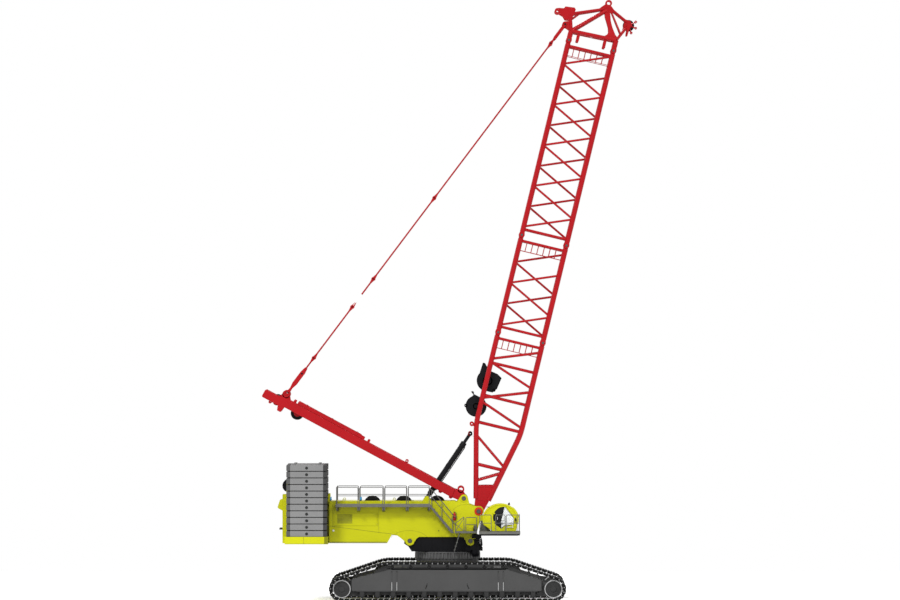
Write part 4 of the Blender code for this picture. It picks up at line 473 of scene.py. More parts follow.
def boom_foot():
    """Tapered foot with bent chords, web plates and round eyes on the boom's pins."""
    d, w = HALF_DEPTH, HALF_WIDTH
    bent_chords = ((0.71, -0.33), (5.10, -d)), ((0.76, 0.43), (5.02, d))
    web = outline_of(arc((0, 0), 0.27, 270, 90, 12), (0.76, 0.47), (1.75, 0.68), (1.62, 0.10), (1.45, -0.54),
                     (0.71, -0.37))
    hollow = np.array([(0.62, -0.20), (1.36, -0.40), (1.52, 0.10), (1.62, 0.52), (0.72, 0.30)])
    half_web = 0.085
    side_bars = [((9.06, -d), (10.09, d)), ((8.86, -d), (7.86, d)), ((6.65, -d), (7.65, d)),
                 ((6.44, -d), (5.41, d)), ((4.38, -1.16), (2.88, 0.90)), ((1.75, -0.56), (2.52, 0.80))]
    side_braces = [((8.83, -d), (8.83, d)), ((6.83, -d), (6.83, d)), ((5.18, -d), (5.18, d)),
                   ((2.71, -0.78), (2.71, 0.85))]
    shapes, necks = end_frame(FOOT_END - PERP_OFFSET), []
    for y in (-w, w):
        for foot, bend in bent_chords:
            flat = eased([foot, bend, (FOOT_END - NECK_END, bend[1])], 0.5, 6)
            shapes.append(sweep(BOOM(flat[:, 0], flat[:, 1], y), CHORD, 24))
            neck = BOOM(np.array([FOOT_END - 0.24, FOOT_END - NECK_START]), bend[1], y)
            necks.append(sweep(neck, [CHORD, NECK], 24))
        shapes.append(BOOM.plate(web, y - half_web, y + half_web))
        for way in (-1, 1):
            weld = BOOM(hollow[:, 0], hollow[:, 1], y + way * (half_web + 0.002))
            boss = way * (half_web - 0.001)
            shapes.append(sweep(weld, 0.012, 6, loop=True))
            shapes.append(washer(BOOM(0, 0, y), 0.125, 0.27, boss - 0.008, boss + 0.012, sides=40))
        shapes.append(BOOM.bars([((*a, y), (*b, y)) for a, b in side_bars], LACE + 0.006))
        shapes.append(BOOM.bars([((*a, y), (*b, y)) for a, b in side_braces], BRACE))
    cross = [(8.83, d), (6.83, d), (5.18, d), (2.71, 0.86), (2.71, -0.80), (UPPER_WINCH[0] - 0.46, -d),
             (LOWER_WINCH[0] - 0.40, -d)]
    shapes.append(BOOM.bars([((*place, -w), (*place, w)) for place in cross], BRACE))
    diagonals = [((8.83, d, -w), (10.35, d, w)), ((6.83, d, w), (8.83, d, -w)), ((5.18, d, -w), (6.83, d, w)),
                 ((8.83, -d, w), (10.35, -d, -w)), ((2.75, 0.88, -w), (5.10, d, w))]
    shapes.append(BOOM.bars(diagonals, LACE))
    piece("boom_foot_section", shapes + necks + backstop_brackets(), "red", "boom", ["boom_foot"])


def backstop_brackets():
    """Cross bar on the back face with a fork for each backstop's eye, and small lugs beside it."""
    u, v = BACKSTOP_EYE
    bar_u, bar_v = u + 0.05, v + 0.42
    fork = outline_of((bar_u - 0.12, bar_v + 0.04), (bar_u + 0.12, bar_v + 0.04), (u + 0.14, v),
                      arc((u, v), 0.14, 0, -180, 10), (u - 0.14, v))
    lug = [(4.86, -1.40), (5.10, -1.40), (5.06, -1.54), (4.90, -1.54)]
    shapes = [BOOM.bar((bar_u, bar_v, -HALF_WIDTH), (bar_u, bar_v, HALF_WIDTH), BRACE)]
    for side in (-1, 1):
        y = side * HALF_WIDTH
        for way in (-1, 1):
            near, far = (side * (BACKSTOP_Y + way * gap) for gap in (0.097, 0.137))
            shapes.append(BOOM.plate(fork, near, far))
        shapes.append(washer(BOOM(4.98, -1.62, y + side * 0.02), 0.05, 0.13, -0.03, 0.03, sides=24))
        shapes.append(BOOM.plate(lug, y - 0.03, y + 0.05))
    return shapes


# the head's corners as (along, across), and how far out its top plates and nose arms stand
HEAD_BACK, HEAD_FRONT = (29.26, -HALF_DEPTH), (29.34, HALF_DEPTH)
HEAD_TOP, HEAD_TOP_Y = (30.97, 0.40), 0.62
NOSE, NOSE_Y = (30.40, 1.90), 0.38


def boom_head():
    """Head: corner tubes, gusset plates with lifting eyes, slotted struts and the nose arms."""
    w = HALF_WIDTH
    shapes = []
    for side in (-1, 1):
        y, top_y, nose_y = side * w, side * HEAD_TOP_Y, side * NOSE_Y
        for v, end in ((-HALF_DEPTH, HEAD_BACK), (HALF_DEPTH, HEAD_FRONT)):
            path = BOOM(np.array([LONG_END + NECK_START, LONG_END + NECK_END, end[0]]), v, y)
            shapes.append(sweep(path, np.array([NECK, CHORD, CHORD]), 24))
        tubes = (
            ((*HEAD_BACK, y), (*HEAD_FRONT, y), 0.115, 20),
            ((*HEAD_BACK, y), (30.15, -1.66, y), 0.10, 20),
            ((*HEAD_BACK, y), (*HEAD_TOP, top_y), 0.115, 20),
            ((30.30, -1.50, y), (HEAD_TOP[0] + 0.02, HEAD_TOP[1] - 0.2, top_y), 0.085, 16),
            ((29.95, -1.52, y), (30.50, -1.05, y - side * 0.2), 0.04, 12),
            ((31.10, 0.66, top_y), (NOSE[0] + 0.2, NOSE[1] - 0.2, nose_y), 0.085, 16),
            ((*HEAD_FRONT, y), (NOSE[0] - 0.15, NOSE[1] - 0.1, nose_y), 0.085, 16),
            ((30.93, 0.72, top_y), (29.82, 1.52, y - side * 0.25), 0.045, 12),
        )
        shapes += [BOOM.bar(*tube) for tube in tubes]
        shapes += head_plates(y, top_y) + nose_fittings(side) + [strut_plate(y, top_y)]
    across = [(29.30, -0.1), HEAD_BACK, HEAD_FRONT, (30.25, -1.66)]
    shapes.append(BOOM.bars([((*place, -w), (*place, w)) for place in across], 0.10, 20))
    shapes.append(BOOM.bar((*HEAD_TOP, -HEAD_TOP_Y - 0.1), (*HEAD_TOP, HEAD_TOP_Y + 0.1), 0.13, 20))
    piece("boom_head_frame", shapes, "red", "boom", ["boom_head"])


def head_plates(y, top_y):
    """One side's rear gusset and stay lug, top plate with its lifting eye, and the two ladder stubs."""
    gusset = [(30.46, -2.12), (30.60, -2.05), (30.66, -1.50), (30.56, -1.40), (30.30, -1.44), (29.90, -1.50),
              (29.84, -1.89), (30.02, -2.06), (30.10, -2.30)]
    neck = [(30.10, -2.33), (30.42, -2.44), (30.48, -2.05), (30.05, -2.00)]
    lug = outline_of((29.20, -1.25), (29.86, -1.45), (29.72, -1.88), arc(STAY_EYE, 0.17, -20, -160, 8),
                     (29.38, -1.70))
    crown = [(31.33, 0.26), (30.98, -0.05), (30.80, 0.18), (30.88, 0.48), (30.90, 0.78), (31.12, 0.82),
             (31.32, 0.58)]
    shapes = [
        BOOM.plate(gusset, y - 0.06, y + 0.06),
        washer(BOOM(30.23, -2.45, y), 0.075, 0.17, -0.06, 0.06, sides=32),
        BOOM.plate(neck, y - 0.055, y + 0.055),
        BOOM.plate(lug, y - 0.045, y + 0.045),
        washer(BOOM(31.42, 0.43, top_y), 0.105, 0.20, -0.05, 0.05, sides=36),
        BOOM.plate(crown, top_y - 0.055, top_y + 0.055),
    ]
    for v in (-0.88, 0.75):
        stub = [(29.20, v - 0.085), (29.20, v + 0.085), (28.74, v + 0.085), (28.70, v + 0.06),
                (28.70, v - 0.06),
                (28.74, v - 0.085)]
        shapes.append(BOOM.plate(stub, y - 0.05, y + 0.05))
    return shapes


def nose_fittings(side):
    """One side's nose plate, side arm and three guard lugs, each on a bar that points at the nose."""
    nose_plate = [(30.05, 1.60), (30.22, 2.02), (30.45, 2.12), (30.70, 1.95), (30.72, 1.60)]
    arm = outline_of((30.46, 1.80), arc((29.80, 1.92), 0.06, 100, 260, 6)[::-1], (30.46, 2.02), (30.52, 1.91))
    shapes = [BOOM.plate(nose_plate, side * 0.255, side * 0.41), BOOM.plate(arm, side * 0.43, side * 0.47)]
    y = side * 0.30
    for u, v, size, sides in ((30.72, 2.27, 0.10, 4), (30.36, 2.36, 0.075, 16), (30.02, 2.16, 0.08, 16)):
        inward = np.array([u, v]) + 0.28 * (np.array(NOSE) - (u, v)) / math.dist(NOSE, (u, v))
        shapes.append(washer(BOOM(u, v, y), 0.03, size, -0.03, 0.03, sides=sides))
        shapes.append(BOOM.bar((u, v, y), (*inward, y), 0.035, 8))
    return shapes


def strut_plate(y, top_y):
    """Strut from the top plate down to the front corner; its place across runs evenly from top_y out to y."""
    outline = np.array([
        (30.96, 0.20), (30.86, 0.30), (30.55, 0.41), (30.25, 0.59), (29.98, 0.74), (29.72, 0.82), (29.55,
                                                                                                   0.76),
        (29.40, 0.60), (29.24, 0.62), (29.25, 1.31), (29.46, 1.48), (29.66, 1.25), (30.05, 0.98), (30.40,
                                                                                                   0.80),
        (30.98, 0.62)])
    foot, tip = 29.3, 30.9
    lean = np.clip((outline[:, 0] - foot) / (tip - foot), 0, 1)
    middle = y + (top_y - y) * lean
    inner = drawn_in(outline, 0.01)
    layers = (inner, -0.05), (outline, -0.04), (outline, 0.04), (inner, 0.05)
    return loft([BOOM(shape[:, 0], shape[:, 1], middle + depth) for shape, depth in layers])


def nose_sheave():
    """Grooved sheave with a hub, black as its plates."""
    groove = mirrored([(0.0, 0.28), (0.06, 0.29), (0.12, 0.345), (0.20, 0.345), (0.225, 0.30), (0.225, 0.10)])
    hub = mirrored([(0.42, 0.068), (0.425, 0.06)])
    centre = PIVOT["nose_sheave_spin"]
    piece("nose_sheave_disc", [turned(groove, centre), turned(hub, centre, sides=20)], "black", "nose_sheave",
          ["nose_sheave"])


# ================================================================ boom winches
def wound_rope(centre, half, radius, swell, wraps, sides):
    """Layer of rope on a drum: the radius swells in half a sine for each turn of the rope."""
    along = np.linspace(-half, half, wraps * 4 + 1)
    height = radius + swell * np.abs(np.sin(np.linspace(0, np.pi * wraps, len(along))))
    return turned(np.stack([along, height], axis=1), centre, sides=sides)


def winch_cheeks(name, node, winch, outline, eyes, journal):
    """Two cheek plates with a collar and bolts round the drum's bearing, and two spacers between them."""
    u, v, radius = winch
    cheek = 0.06
    shapes = []
    for side in (-1, 1):
        shapes.append(BOOM.plate(outline, side * (WINCH_HALF - cheek), side * WINCH_HALF, 0.01))
        centre = BOOM(u, v, side * WINCH_HALF)
        shapes.append(washer(centre, journal, journal + 0.09, -0.012, 0.03, sides=40))
        shapes.append(bolt_ring(centre, journal + 0.16, 10, 0.022, side * 0.03))
        for eye in eyes:
            shapes.append(washer(BOOM(*eye, side * (WINCH_HALF - cheek / 2)), 0.04, 0.10, -0.03, 0.03,
                                 sides=20))
    reach, half = radius - 0.09, WINCH_HALF - 0.01
    for turn in np.radians((150, 270)):
        spot = u + reach * math.cos(turn), v + reach * math.sin(turn)
        shapes.append(BOOM.bar((*spot, -half), (*spot, half), 0.05))
    piece(name, shapes, "black", "boom", [node])


def winch_drum(name, body, winch, bore, journal):
    """Drum between two flanges on its hollow journal, with wound rope."""
    inner = WINCH_HALF - 0.07
    shell = mirrored([(inner - 0.05, 0.33), (inner - 0.04, 0.40), (inner, 0.40), (inner, bore + 0.02)])
    centre = BOOM(*winch[:2], 0)
    tube = washer(centre, bore, journal - 0.004, -WINCH_HALF, WINCH_HALF, sides=40)
    piece(f"{name}_body", [turned(shell, centre), tube], "black", body, [body])
    piece(f"{name}_rope", [wound_rope(centre, inner - 0.05, 0.335, 0.010, 44, 36)], "rope", body)


def boom_winches():
    u, v, r = UPPER_WINCH
    upper = outline_of(arc((u, v), r, -60, -165, 12), (u - 0.62, v + 0.45), (u - 0.35, v + 0.66),
                       (u + 0.35, v + 0.78), (u + 0.52, v + 0.50), (u + 0.62, v - 0.05), (u + 0.98, v - 0.38),
                       (u + 0.98, v - 0.52))
    winch_cheeks("upper_winch_cheeks", "boom_winch_frame_upper", UPPER_WINCH, upper, [(u - 0.46, v + 0.5)],
                 0.30)
    u, v, r = LOWER_WINCH
    lower = outline_of(arc((u, v), r, 35, 325, 24), (u + 0.62, v - 0.30),
                       arc((u + 0.72, v - 0.40), 0.10, -60, 120, 6))
    eyes = [(u + 0.55, v + 0.20), (u - 0.10, v - 0.60)]
    winch_cheeks("lower_winch_cheeks", "boom_winch_frame_lower", LOWER_WINCH, lower, eyes, 0.20)
    winch_drum("upper_winch_drum", "boom_winch_drum_upper", UPPER_WINCH, 0.21, 0.30)
    winch_drum("lower_winch_drum", "boom_winch_drum_lower", LOWER_WINCH, 0.12, 0.20)


def boom():
    """Foot, two straight sections with the joints and rails between them, head, nose sheave and winches."""
    boom_foot()
    insert_section("boom_short_section", "boom_insert_short", FOOT_END, SHORT_END, FOOT_END + 0.46, 1.293, 4)
    insert_section("boom_long_section", "boom_insert_long", SHORT_END, LONG_END, SHORT_END + 0.51, 1.2525, 9)
    joints, pins = zip(*(chord_joint(u) for u in (FOOT_END, SHORT_END, LONG_END)))
    piece("chord_joint_ears", sum(joints, []), "red", "boom")
    piece("chord_joint_pins", sum(pins, []), "pin", "boom")
    ends = (FOOT_END, SHORT_END, LONG_END)
    piece("catwalk_rails", [catwalk_rail(end - PERP_OFFSET) for end in ends], "red", "boom")
    boom_head()
    nose_sheave()
    boom_winches()


# ================================================================ mast
MAST = Member(PIVOT["mast_luff"], math.radians(151.7))
MAST_UNDER, MAST_OVER = -0.29, 0.23
STAY_LUG = (12.31, 0.45)
STOWED_LOW, STOWED_HIGH = 6.93, 11.45


def mast_tab(s, foot, tip, base, top, y, half):
    """Small tab across a leg's edge, from half width foot at its base to half width tip at its top."""
    outline = [(s - foot, base), (s + foot, base), (s + tip, top), (s - tip, top)]
    return MAST.plate(outline, y - half, y + half)


def mast():
    """Box legs with cut edges, cross tubes, sheave hangers, stay lugs and small fittings."""
    w = HALF_WIDTH
    root = outline_of(arc((0, 0), 0.22, 250, 90, 14), (0.24, 0.36), (0.75, MAST_OVER), (1.2, MAST_OVER),
                      (1.2, MAST_UNDER), (0.75, MAST_UNDER))
    leg = [(0.66, MAST_UNDER + 0.05), (0.72, MAST_OVER - 0.04), (0.80, MAST_OVER), (12.40, MAST_OVER),
           (12.60, 0.13),
           (13.49, 0.13), (13.55, 0.07), (13.55, -0.33), (13.49, -0.37), (12.45, -0.37), (12.36, -0.62),
           (12.32, -0.66), (12.13, -0.66), (12.10, -0.62), (12.05, MAST_UNDER), (0.75, MAST_UNDER)]
    u, v = STAY_LUG
    lug = [(u - 0.42, MAST_OVER - 0.05), (u - 0.20, v + 0.02), (u + 0.16, v + 0.06),
           (u + 0.34, MAST_OVER - 0.12)]
    shapes = []
    for y in (-w, w):
        shapes.append(MAST.plate(root, y - 0.098, y + 0.098))
        shapes.append(washer(MAST(0.40, 0.38, y), 0.12, 0.205, -0.098, 0.098, sides=40))
        shapes.append(MAST.plate(leg, y - 0.15, y + 0.15, 0.02))
        shapes.append(washer(MAST(u, v, y), 0.11, 0.24, -0.05, 0.05, sides=40))
        shapes.append(MAST.plate(lug, y - 0.05, y + 0.05))
        shapes.append(washer(MAST(12.95, -0.42, y), 0.035, 0.09, -0.03, 0.03, sides=20))
        shapes.append(washer(MAST(4.05, 0.33, y), 0.05, 0.10, -0.02, 0.02, sides=24))
        shapes.append(MAST.bar((4.05, 0.20, y), (4.05, 0.26, y), 0.05, 16))
        shapes += [mast_tab(s, 0.14, 0.07, MAST_UNDER + 0.03, MAST_UNDER - 0.10, y, 0.05) for s in (1.44,
                                                                                                    0.74)]
        shapes += [mast_tab(s, 0.09, 0.07, MAST_OVER - 0.03, 0.40, y, 0.12) for s in (6.64, 11.65)]
    level = -0.03
    shapes.append(MAST.bars([((s, level, -w), (s, level, w)) for s in (3.0, 6.8, 10.4, 13.2)], 0.13, 24))
    slanting = [((3.0, level, -w), (6.8, level, w)), ((6.8, level, -w), (10.4, level, w))]
    shapes.append(MAST.bars(slanting, 0.08, 16))
    for s in (12.62, 11.20):
        hanger = outline_of((s - 0.22, 0.16), (s - 0.22, -0.24), arc((s, -0.24), 0.22, 180, 360, 8),
                            (s + 0.22, 0.16))
        for way in (-1, 1):
            shapes.append(MAST.plate(hanger, way * 0.456, way * 0.516))
            shapes.append(MAST.bar((s, 0.10, way * 0.486), (s, 0.10, way * w), 0.07, 16))
    piece("mast_box_frame", shapes, "red", "mast", ["mast_frame"])
    stowed_stay_bars()
    mast_sheave_set("outer", 0.35)
    mast_sheave_set("inner", 0.41)


def stowed_stay_bars():
    """A flat bar on top of each leg, held by three straps."""
    low, high = STOWED_LOW, STOWED_HIGH
    outline = [(low + 0.03, 0.235), (high - 0.03, 0.235), (high, 0.265), (high, 0.41), (high - 0.03, 0.44),
               (low + 0.30, 0.44), (low + 0.22, 0.40), (low + 0.03, 0.40), (low, 0.37), (low, 0.265)]
    shapes = []
    for y in (-HALF_WIDTH, HALF_WIDTH):
        shapes.append(MAST.plate(outline, y - 0.09, y + 0.09, 0.015))
        straps = (low + 0.55, high - 0.55, (low + high) / 2)
        shapes += [mast_tab(s, 0.05, 0.05, 0.232, 0.462, y, 0.11) for s in straps]
    piece("stowed_stay_bars", shapes, "red", "mast", ["stored_bar_right", "stored_bar_left"])


def mast_sheave_set(name, radius, count=7):
    """Row of sheaves on one axle: the radius dips in a cosine at each groove."""
    node = f"mast_sheaves_{name}"
    centre = PIVOT[f"{node}_spin"]
    along = np.linspace(-0.44, 0.44, count * 8 + 1)
    wave = 0.5 - 0.5 * np.cos(np.linspace(0, 2 * np.pi * count, len(along)))
    row = outline_of((-0.45, 0.10), np.stack([along, radius - 0.012 - 0.055 * wave], axis=1), (0.45, 0.10))
    axle = drum(centre, -0.515, 0.515, 0.068, sides=20)
    piece(f"mast_sheave_row_{name}", [turned(row, centre, sides=40), axle], "black", node, [node])


# ================================================================ stays and backstops
STAY_HEAD = BOOM(*STAY_EYE, 0)
STAY_FOOT = MAST(*STAY_LUG, 0)
STAY_LENGTH = math.dist(STAY_HEAD, STAY_FOOT)
STAY = Member(STAY_FOOT, math.atan2(STAY_HEAD[2] - STAY_FOOT[2], STAY_HEAD[0] - STAY_FOOT[0]))


def stay_eye(s, y):
    """Forged eye with a teardrop neck on each side."""
    upper = [(s + 0.34, 0.032), (s + 0.06, 0.085), (s - 0.06, 0.085), (s - 0.34, 0.032)]
    neck = doubled(upper)
    return [washer(STAY(s, 0, y), 0.045, 0.115, -0.045, 0.045, sides=28),
            STAY.plate(neck, y - 0.03, y + 0.03)]


def main_stays():
    """Link plates, rods and eyes from the mast's lugs to the boom head, with a zinc link low down."""
    end = STAY_LENGTH
    upper = [(1.90, 0.08), (1.62, 0.13), (0.80, 0.13), (0.45, 0.06), (0.10, 0.10)]
    foot_link = doubled(upper)
    head_link = outline_of((end - 1.12, -0.06), (end - 1.0, -0.09), (end - 0.05, -0.09),
                           arc((end, 0), 0.13, -60, 60, 8), (end - 0.05, 0.09), (end - 1.0,
                                                                                 0.09), (end - 1.12, 0.06))
    half_packer = 0.075
    shapes, zinc, pins = [], [], []
    for y in (-HALF_WIDTH, HALF_WIDTH):
        for way in (-1, 1):
            low, high = y + way * 0.056, y + way * 0.096
            shapes.append(washer(STAY(0, 0, (low + high) / 2), 0.11, 0.185, -0.02, 0.02, sides=32))
            shapes += [STAY.plate(foot_link, low, high), STAY.plate(head_link, low, high)]
        for low, high in ((1.42, 1.95), (end - 1.12, end - 0.75)):
            packer = [(low, -half_packer), (high, -half_packer), (high, half_packer), (low, half_packer)]
            shapes.append(STAY.plate(packer, y - 0.09, y + 0.09, 0.012))
        for s in (2.72, 6.55, 8.65, 14.72, end - 1.42):
            shapes += stay_eye(s, y)
            pins.append(drum(STAY(s, 0, y), -0.075, 0.075, 0.042, sides=16))
        pins.append(drum(STAY(1.55, 0, y), -0.12, 0.12, 0.055, sides=20))
        shapes += [STAY.bar((low, 0, y), (high, 0, y), 0.038) for low,
                   high in ((1.7, 6.55), (7.48, end - 0.9))]
        zinc.append(STAY.bar((6.66, 0, y), (7.52, 0, y), 0.034))
        pins.append(drum(STAY(end, 0, y), -0.125, 0.125, 0.0585, sides=24))
    piece("stay_bars", shapes, "red", "main_stays", ["main_stay_right", "main_stay_left"])
    piece("stay_zinc_links", zinc, "pale_steel", "main_stays")
    piece("stay_pins", pins, "black", "main_stays")


def backstops():
    """Barrels with collars, ports and pipes on the superstructure's side, and rods on the boom's."""
    foot = PIVOT["backstop_hinge"]
    head = BOOM(*BACKSTOP_EYE, 0)
    line = Member(foot, math.atan2(head[2] - foot[2], head[0] - foot[0]))
    length = math.dist(head, foot)
    profile = [(0.24, 0.10), (0.28, 0.15), (0.34, 0.156), (3.70, 0.156), (3.70, 0.175), (3.96, 0.175),
               (4.00, 0.165),
               (4.00, 0.0925), (0.60, 0.0925), (0.60, 0.05)]
    foot_neck = [(0.05, -0.11), (0.32, -0.11), (0.32, 0.11), (0.05, 0.11)]
    head_neck = [(length - 0.22, -0.084), (length - 0.05, -0.10), (length - 0.05, 0.10),
                 (length - 0.22, 0.084)]
    barrels, rods, pipes = [], [], []
    for y in (-BACKSTOP_Y, BACKSTOP_Y):
        barrels.append(turned(profile, line(0, 0, y), line.along, 36))
        barrels.append(washer(line(0, 0, y), 0.062, 0.135, -0.05, 0.05, sides=28))
        barrels.append(line.plate(foot_neck, y - 0.05, y + 0.05))
        for s in (0.95, 2.30, 3.35):
            barrels.append(washer(line(s, 0, y), 0.150, 0.172, -0.035, 0.035, line.along, 36))
        path = eased([line(0.7, 0.14, y), line(0.7, 0.20, y), line(3.8, 0.20, y), line(3.8, 0.15, y)], 0.06)
        pipes.append(sweep(path, 0.017, 10))
        rods.append(line.bar((1.04, 0, y), (length - 0.20, 0, y), 0.0895, 36))
        rods.append(washer(line(length, 0, y), 0.035, 0.13, -0.089, 0.089, sides=28))
        rods.append(line.plate(head_neck, y - 0.084, y + 0.084))
    piece("backstop_barrel_tubes", barrels, "black", "backstop_barrels",
          ["backstop_barrel_right", "backstop_barrel_left"])
    piece("backstop_pipes", pipes, "dark_trim", "backstop_barrels")
    piece("backstop_piston_rods", rods, "black", "backstop_rods", ["backstop_rod_right", "backstop_rod_left"])


# ================================================================ crawlers
AXLE_X, AXLE_Z = 6.30, 0.77
TRACK_TOP, TOP_HALF = 2.42, 3.82
SHOE_WIDTH, SHOE_THICK, SHOE_PITCH = 1.50, 0.19, 0.335
GAUGE = 8.80
FRAME_HALF = 0.50


def track_path(steps=24):
    """Closed outside of the track: arcs round the wheels, straight runs and eased upper corners between."""
    corner = np.array([TOP_HALF, TRACK_TOP])
    away = corner - (AXLE_X, AXLE_Z)
    tangent = math.degrees(math.atan2(away[1], away[0]) - math.acos(AXLE_Z / math.hypot(*away)))
    end = arc((AXLE_X, AXLE_Z), AXLE_Z, -90, tangent, steps)
    right = eased(np.concatenate([end, [corner], [[0.0, TRACK_TOP]]]), 0.45, 5)[:-1]
    return np.concatenate([right, right[::-1] * (-1, 1)])


def shoe_places():
    """Even places along the closed path, with the direction along it at each, and their pitch."""
    path = track_path()
    closed = np.concatenate([path, path[:1]])
    passed = np.concatenate([[0], np.cumsum(np.linalg.norm(np.diff(closed, axis=0), axis=1))])
    length = passed[-1]
    count = round(length / SHOE_PITCH)
    wanted = (np.arange(count) + 0.5) * length / count

    def point(distance):
        return np.stack([np.interp(distance % length, passed, closed[:, k]) for k in (0, 1)], axis=1)

    along = point(wanted + 0.08) - point(wanted - 0.08)
    return point(wanted), along / np.linalg.norm(along, axis=1, keepdims=True), length / count


def carried(outline, low, high, spots, along, rim=0.012):
    """One plate per place: its outline turned with the path, its thickness across the track."""
    inward = np.stack([-along[:, 1], along[:, 0]], axis=1)
    inner = drawn_in(outline, rim)
    rings = []
    for shape, depth in ((inner, low), (outline, low + rim), (outline, high - rim), (inner, high)):
        flat = spots[:, None] + shape[None, :, :1] * along[:, None] + shape[None, :, 1:] * inward[:, None]
        rings.append(side_on(flat[..., 0], flat[..., 1], depth))
    return loft(np.stack(rings, axis=1))


def track(name, side):
    """Shoes with ridges and a notch between them, over a chain of links with pins."""
    middle = side * GAUGE / 2
    spots, along, pitch = shoe_places()
    half = pitch / 2
    scale = (half, 1)                    # outlines along the path are in half pitches
    shoe = np.array([(-0.93, 0.040), (-0.80, 0.010), (-0.30, 0.010), (-0.22, 0.030), (0.22, 0.030),
                     (0.30, 0.010),
                     (0.80, 0.010), (0.93, 0.040), (0.93, 0.085), (0.55, 0.105), (-0.55, 0.105), (-0.93,
                                                                                                  0.085)])
    link = np.array([(-0.98, 0.09), (0.55, 0.09), (0.98, 0.12), (0.80, SHOE_THICK), (-0.50, SHOE_THICK),
                     (-0.98, 0.16)])
    lug = np.array([(-0.42, 0.10), (0.42, 0.10), (0.22, SHOE_THICK), (-0.22, SHOE_THICK)])
    low, high = middle - SHOE_WIDTH / 2, middle + SHOE_WIDTH / 2
    chain = []
    for outline, places, reach in ((link, (-0.36, 0.36), 0.07), (lug, (-0.56, 0.56), 0.05)):
        for y in places:
            chain.append(carried(outline * scale, middle + y - reach, middle + y + reach, spots, along))
    # the pins take the pale steel grey as a painted highlight
    pins = carried(arc((-half, 0.13), 0.038, 0, 330, 11), low + 0.10, high - 0.10, spots, along, 0.006)
    piece(f"track_shoes_{name}", [carried(shoe * scale, low, high, spots, along)], "track", "undercarriage",
          [f"track_{name}"])
    piece(f"track_chain_{name}", chain, "track", "undercarriage")
    piece(f"track_pins_{name}", [pins], "bright_edge", "undercarriage")


def crawler_frame(name, side):
    """Box frame with nose arms, flanges and upright ribs, and the rollers it carries."""
    middle = side * GAUGE / 2
    box = [(-5.72, 0.70), (-5.66, 0.64), (5.54, 0.64), (5.60, 0.70), (5.60, 1.28), (5.50, 1.34), (3.60, 1.93),
           (3.45, 1.96), (-3.33, 1.96), (-3.48, 1.93), (-5.66, 1.38), (-5.72, 1.31)]
    shapes = [plate(box, middle - FRAME_HALF, middle + FRAME_HALF, rim=0.03)]
    for way in (-1, 1):
        nose = outline_of((way * 5.2, 0.34), (way * 5.2, 1.34), (way * 5.62, 1.32),
                          arc((way * AXLE_X, AXLE_Z), 0.44, 90, 90 - way * 180, 14))
        shapes.append(plate(nose, middle - 0.15, middle + 0.15))
    shapes.append(block((-5.3, 5.3), (middle - 0.15, middle + 0.15), (0.40, 0.70)))
    marks, edges = [], []
    for face in (-1, 1):
        y = middle + face * FRAME_HALF
        shapes.append(block((-5.45, 5.35), (y - 0.02, y + face * 0.025), (0.63, 0.665), 0.004))
        shapes.append(block((-3.36, 3.48), (y - 0.02, y + face * 0.02), (1.925, 1.965), 0.004))
        for x in (-3.32, -3.02, 3.02, 3.32):
            shapes.append(block((x - 0.022, x + 0.022), (y - 0.02, y + face * 0.030), (0.66, 1.86), 0.004))
            # painted highlight: a thin pale strip on the outer edge of each rib
            edges.append(block((x - 0.020, x + 0.020), (y + face * 0.024, y + face * 0.034), (0.68, 1.18),
                               0.002))
            marks.append(drum((x, y, 1.80), face * 0.022, face * 0.040, 0.03, sides=12))
        for x, lean in ((-1.32, 0.10), (1.27, -0.10)):
            slot = [(x - 0.02, 0.78), (x + 0.02, 0.78), (x + lean + 0.02, 1.02), (x + lean - 0.02, 1.02)]
            marks.append(plate(slot, y - 0.01, y + face * 0.010, rim=0.002))
            marks.append(drum((x + lean, y, 1.08), -0.01 * face, face * 0.014, 0.03, sides=12))
    piece(f"crawler_box_{name}", shapes, "frame", "undercarriage", [f"crawler_frame_{name}"])
    piece(f"track_rollers_{name}", track_rollers(middle), "wheel", "undercarriage")
    piece(f"carrier_rollers_{name}", carrier_rollers(middle), "wheel", "undercarriage")
    piece(f"crawler_marks_{name}", marks, "dark_trim", "undercarriage")
    piece(f"crawler_rib_highlights_{name}", edges, "bright_edge", "undercarriage")


def track_rollers(middle, z=0.40):
    """Twelve double-flanged rollers under the frame, each on its axle between two brackets."""
    profile = mirrored([(0.28, 0.145), (0.30, 0.18), (0.40, 0.18), (0.42, 0.165), (0.42, 0.09)])
    shapes = []
    for x in np.linspace(-5.1, 5.1, 12):
        shapes.append(turned(profile, (x, middle, z), sides=28))
        shapes.append(drum((x, middle, z), -0.455, 0.455, 0.075, sides=16))
        bracket = outline_of((x - 0.16, 0.66), (x - 0.11, 0.42), arc((x, z), 0.11, 180, 360, 8),
                             (x + 0.11, 0.42),
                             (x + 0.16, 0.66))
        shapes += [plate(bracket, middle + face * 0.43, middle + face * 0.475) for face in (-1, 1)]
    return shapes


